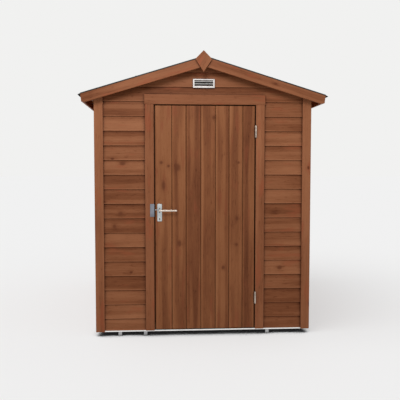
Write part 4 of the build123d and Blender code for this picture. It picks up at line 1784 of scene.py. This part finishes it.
@dataclass
class LockSet:
    """Lever handles on backplates, the latch and the strike plate."""

    finishes: Finishes
    plate_corner: float = 0.0067
    keyhole_drop: float = 0.072
    keyhole_radius: float = 0.0052
    keyslot_width: float = 0.006
    keyslot_drop: float = 0.012
    bore_radius: float = 0.005
    screw: tuple[float, float] = (0.0042, 0.0012)
    screw_offset: float = 0.0165
    strike_screw: tuple[float, float] = (0.0038, 0.0010)
    strike_inset: float = 0.016
    boss_radius: float = 0.0125
    boss_height: float = 0.0025
    arm_thickness: float = 0.011
    neck_width: float = 0.015
    tip_return: float = 0.015
    lever_arris: float = 0.0032
    tab_z: float = 1.094
    tab_height: float = 0.005
    tab_thickness: float = 0.0016

    def middle(self) -> tuple[float, float]:
        """Where the spindle goes through the door: its place along X and its height."""
        low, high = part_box("lock_spindle")
        return (low.x + high.x) / 2, (low.z + high.z) / 2

    def backplate(self) -> Piece:
        """Models the outer backplate with its keyhole and boss.

        Returns:
            The plate, on the outside of the door.
        """
        low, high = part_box("outer_backplate")
        x, z = self.middle()
        plate = block("backplate", low, high)
        with editing(plate):
            choose(plate, Part.EDGE, lambda e: span(e).y > NEAR)
            bpy.ops.mesh.bevel(offset=self.plate_corner, segments=6, affect="EDGES")
        ease(plate, 0.0012, 3)
        key_z = z - self.keyhole_drop
        before, behind = low.y - CLEAR, high.y + CLEAR
        hole = rod("keyhole", (x, before, key_z), (x, behind, key_z), self.keyhole_radius, 24)
        half = self.keyslot_width / 2
        foot, head = key_z - self.keyslot_drop, key_z - 0.001
        slot = block("keyslot", (x - half, before, foot), (x + half, behind, head))
        subtract(plate, hole)
        subtract(plate, slot)
        boss = rod("boss", (x, low.y + 0.001, z), (x, low.y - self.boss_height, z), self.boss_radius)
        ease(boss, 0.001, 3)
        bore = rod("bore", (x, low.y - 2 * CLEAR, z), (x, high.y + 2 * CLEAR, z), self.bore_radius)
        spare = copy_of(bore, Matrix())
        subtract(plate, bore)
        subtract(boss, spare)
        return join("backplate", [plate, boss])

    def screws(self) -> Piece:
        """Models the two fixing screws above and below the lever's boss.

        Returns:
            The screws of the outer backplate.
        """
        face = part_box("outer_backplate")[0].y
        x, z = self.middle()
        changes = [shift(x, face, z + up) for up in (-self.screw_offset, self.screw_offset)]
        return join("plate_screws", scatter(screw_head("screw", *self.screw), changes))

    def tab(self) -> Piece:
        """Models the narrow latch guide between the backplate and the door's edge.

        Returns:
            The guide.
        """
        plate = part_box("outer_backplate")[0]
        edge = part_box("door_boards")[0]
        half = self.tab_height / 2
        low = (edge.x + 0.001, edge.y - self.tab_thickness, self.tab_z - half)
        tab = block("latch_guide", low, (plate.x + 0.001, edge.y + 0.0002, self.tab_z + half))
        ease(tab, 0.0005, 2)
        return tab

    def lever(self) -> Piece:
        """Models the outer lever: a neck, an arm and a return at the tip.

        Returns:
            The lever, on the outside of the door.
        """
        low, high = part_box("outer_lever")
        x, _ = self.middle()
        half = self.neck_width / 2
        back = low.y + self.arm_thickness
        lever = block("lever", (x - half, low.y, low.z + 0.001), (high.x, back, high.z - 0.001))
        with editing(lever):
            tip = high.x - self.arm_thickness
            for place in (x + half, tip, x + half + 0.02, (x + high.x) / 2):
                bpy.ops.mesh.select_all(action="SELECT")
                bpy.ops.mesh.bisect(plane_co=(place, 0, 0), plane_no=(1, 0, 0))
            choose(lever, Part.FACE, lambda f: f.normal.y > 0.9 and f.calc_center_median().x < x + half)
            reach = high.y - back - 0.0005
            bpy.ops.mesh.extrude_region_move(TRANSFORM_OT_translate={"value": (0, reach, 0)})
            choose(lever, Part.FACE, lambda f: f.normal.y > 0.9 and f.calc_center_median().x > tip)
            bpy.ops.mesh.extrude_region_move(TRANSFORM_OT_translate={"value": (0, self.tip_return, 0)})
        ease(lever, self.lever_arris, 3)
        apply_modifier(lever, "SUBSURF", levels=1, render_levels=1)
        return lever

    def build(self) -> None:
        """Builds the lock set on both faces of the door, and the strike plate on the jamb."""
        door_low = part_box("door_boards")[0].y
        door_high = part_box("door_stiles")[1].y
        middle = door_low + door_high
        across = shift(y=middle) @ Matrix.Scale(-1, 4, (0, 1, 0))
        plate = self.backplate()
        inner_plate = copy_of(plate, across)
        lever = self.lever()
        inner_lever = copy_of(lever, across)
        for name, piece, finish, body, node in (
            ("plate_outside", plate, self.finishes.satin, "door", "outer_backplate"),
            ("plate_inside", inner_plate, self.finishes.satin, "door", "inner_backplate"),
            ("lever_outside", lever, self.finishes.lever, "handle", "outer_lever"),
            ("lever_inside", inner_lever, self.finishes.lever, "handle", "inner_lever"),
        ):
            piece.name = name
            smooth(piece)
            dress(piece, finish, body, stands_for=[node])
        screws = self.screws()
        for name, piece in (("screws_outside", screws), ("screws_inside", copy_of(screws, across))):
            piece.name = name
            dress(piece, self.finishes.dark_steel, "door")
        dress(self.tab(), self.finishes.satin, "door")
        self.strike()
        for node in ("lock_spindle", "latch_tube"):
            keep_node(node, self.finishes.zinc)
        keep_node("latch_bolt", self.finishes.lever)

    def strike(self) -> None:
        """Models the strike plate with its lip and two screws."""
        strike = eased_node("strike", "strike_plate", 0.0006)
        low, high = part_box("strike_plate")
        x = (low.x + high.x) / 2 - 0.003
        heights = low.z + self.strike_inset, high.z - self.strike_inset
        screw = screw_head("screw", *self.strike_screw)
        strike = join("strike", [strike, *scatter(screw, [shift(x, low.y, z) for z in heights])])
        dress(strike, self.finishes.zinc, stands_for=["strike_plate"])


# Studio


@dataclass(frozen=True)
class Lamp:
    """A far lamp: where it stands, how wide it is and how strong."""

    name: str
    place: tuple[float, float, float]
    spread: float
    strength: float


@dataclass
class Studio:
    """The pale floor, the soft light and the camera."""

    sky: float = 0.50
    backdrop: Colour = shade(241, 241, 240)
    floor_radius: float = 90.0
    floor_seen: Colour = (0.40, 0.40, 0.40, 1.0)
    floor_bounce: Colour = (0.62, 0.62, 0.62, 1.0)
    floor_white: float = 0.488
    # the colour of the painted contact shadow under the shed
    painted_contact_shadow: Colour = (0.03, 0.03, 0.032, 1.0)
    key_place: tuple[float, float, float] = (-0.45, -3.55, 3.15)
    key_aim: tuple[float, float, float] = (-0.1, -1.22, 1.9)
    key_size: float = 0.95
    key_power: float = 34.0
    floor_lamp: Lamp = Lamp("floor_lamp", (-0.50, -0.35, 1.0), 60.0, 1.75)
    fills: tuple[Lamp, ...] = (
        Lamp("back_fill", (1.3, 1.2, 1.1), 40.0, 1.3),
        Lamp("left_fill", (-1.4, 0.25, 1.0), 40.0, 1.1),
    )
    camera_place: tuple[float, float, float] = (-0.3395, -5.986, 1.456)
    camera_turn: float = 0.06438
    camera_dip: float = 0.05849

    def floor(self) -> Piece:
        """Lays the floor, large enough to reach the horizon, with a painted contact shadow under and beside
        the shed.

        Returns:
            The floor.
        """
        bpy.ops.object.select_all(action="DESELECT")
        bpy.ops.mesh.primitive_circle_add(vertices=64, radius=self.floor_radius, fill_type="NGON")
        floor = bpy.context.object
        floor.name = "studio_floor"
        g = Surface("studio_floor")
        seen = g.seen()
        colour = g.mix(seen, self.floor_bounce, self.floor_seen)
        # painted contact shadow: the floor's colour and its glow darken under and beside the shed, by how
        # closed in each point is
        under = g.recess(0.16, 0.98, opening=0.66, samples=12)
        white = g.math("MULTIPLY", g.math("SUBTRACT", 1.0, under), self.floor_white)
        glow = {"Emission Color": WHITE, "Emission Strength": g.math("MULTIPLY", seen, white)}
        matt = {"Roughness": 1.0, "Specular IOR Level": 0.0}
        g.set({"Base Color": g.mix(under, colour, self.painted_contact_shadow), **glow, **matt})
        floor.data.materials.append(g.material)
        return floor

    def world(self) -> None:
        """Lights the scene evenly, and shows a plain backdrop to the camera and in reflections."""
        world = bpy.data.worlds.new("studio")
        g = Graph(world)
        light = g.add("ShaderNodeBackground", {"Color": WHITE, "Strength": self.sky})
        shown = g.add("ShaderNodeBackground", {"Color": self.backdrop})
        mix = g.add("ShaderNodeMixShader", {0: g.seen(), 1: light.outputs[0], 2: shown.outputs[0]})
        g.add("ShaderNodeOutputWorld", {"Surface": mix.outputs[0]})
        bpy.context.scene.world = world

    def lamp(self, kind: str, name: str, place: Point, aim: Point, energy: float) -> Piece:
        """Adds a lamp.

        Args:
            kind: its type.
            name: its name.
            place: where it stands.
            aim: the point that it shines on.
            energy: its strength.

        Returns:
            The lamp.
        """
        bpy.ops.object.light_add(type=kind, location=place)
        light = bpy.context.object
        light.name = name
        light.data.energy = energy
        light.rotation_euler = (Vector(aim) - Vector(place)).to_track_quat("-Z", "Y").to_euler()
        return light

    def sun(self, lamp: Lamp) -> Piece:
        """Adds a far lamp that shines on the middle of the shed.

        Args:
            lamp: where it stands, how wide it is and how strong.

        Returns:
            The lamp.
        """
        light = self.lamp("SUN", lamp.name, lamp.place, (0, 0, 0), lamp.strength)
        light.data.angle = math.radians(lamp.spread)
        return light

    def key(self) -> Piece:
        """Adds the round soft lamp in front of the shed.

        Returns:
            The lamp.
        """
        light = self.lamp("AREA", "key_lamp", self.key_place, self.key_aim, self.key_power)
        light.data.shape = "DISK"
        light.data.size = self.key_size
        light.visible_camera = False
        return light

    def build(self) -> None:
        """Sets up the floor, the light and the camera."""
        floor = self.floor()
        self.world()
        on_floor = bpy.data.collections.new("lit_floor")
        on_floor.objects.link(floor)
        on_shed = bpy.data.collections.new("lit_shed")
        on_shed.objects.link(floor)
        on_shed.collection_objects[0].light_linking.link_state = "EXCLUDE"
        self.sun(self.floor_lamp).light_linking.receiver_collection = on_floor
        for light in (self.key(), *(self.sun(lamp) for lamp in self.fills)):
            light.light_linking.receiver_collection = on_shed
        bpy.ops.object.camera_add(location=self.camera_place)
        camera = bpy.context.object
        camera.rotation_euler = (math.pi / 2 - self.camera_dip, 0, -self.camera_turn)
        camera.data.lens = 50
        camera.data.sensor_width = 36
        camera.data.clip_end = 300
        bpy.context.scene.camera = camera
        bpy.context.scene.view_settings.view_transform = "Standard"


def main() -> None:
    """Builds the shed piece by piece, then the studio."""
    logging.basicConfig(level=logging.INFO, format="%(message)s")
    draw = random.Random(41)
    finishes = Finishes()
    Base(finishes, draw).build()
    Walls(finishes, draw).build()
    Trim(finishes, draw).build()
    Roof(finishes, draw).build()
    Vent(finishes).build()
    Door(finishes, draw).build()
    Hinges(finishes).build()
    LockSet(finishes).build()
    Studio().build()


if __name__ == "__main__":
    main()
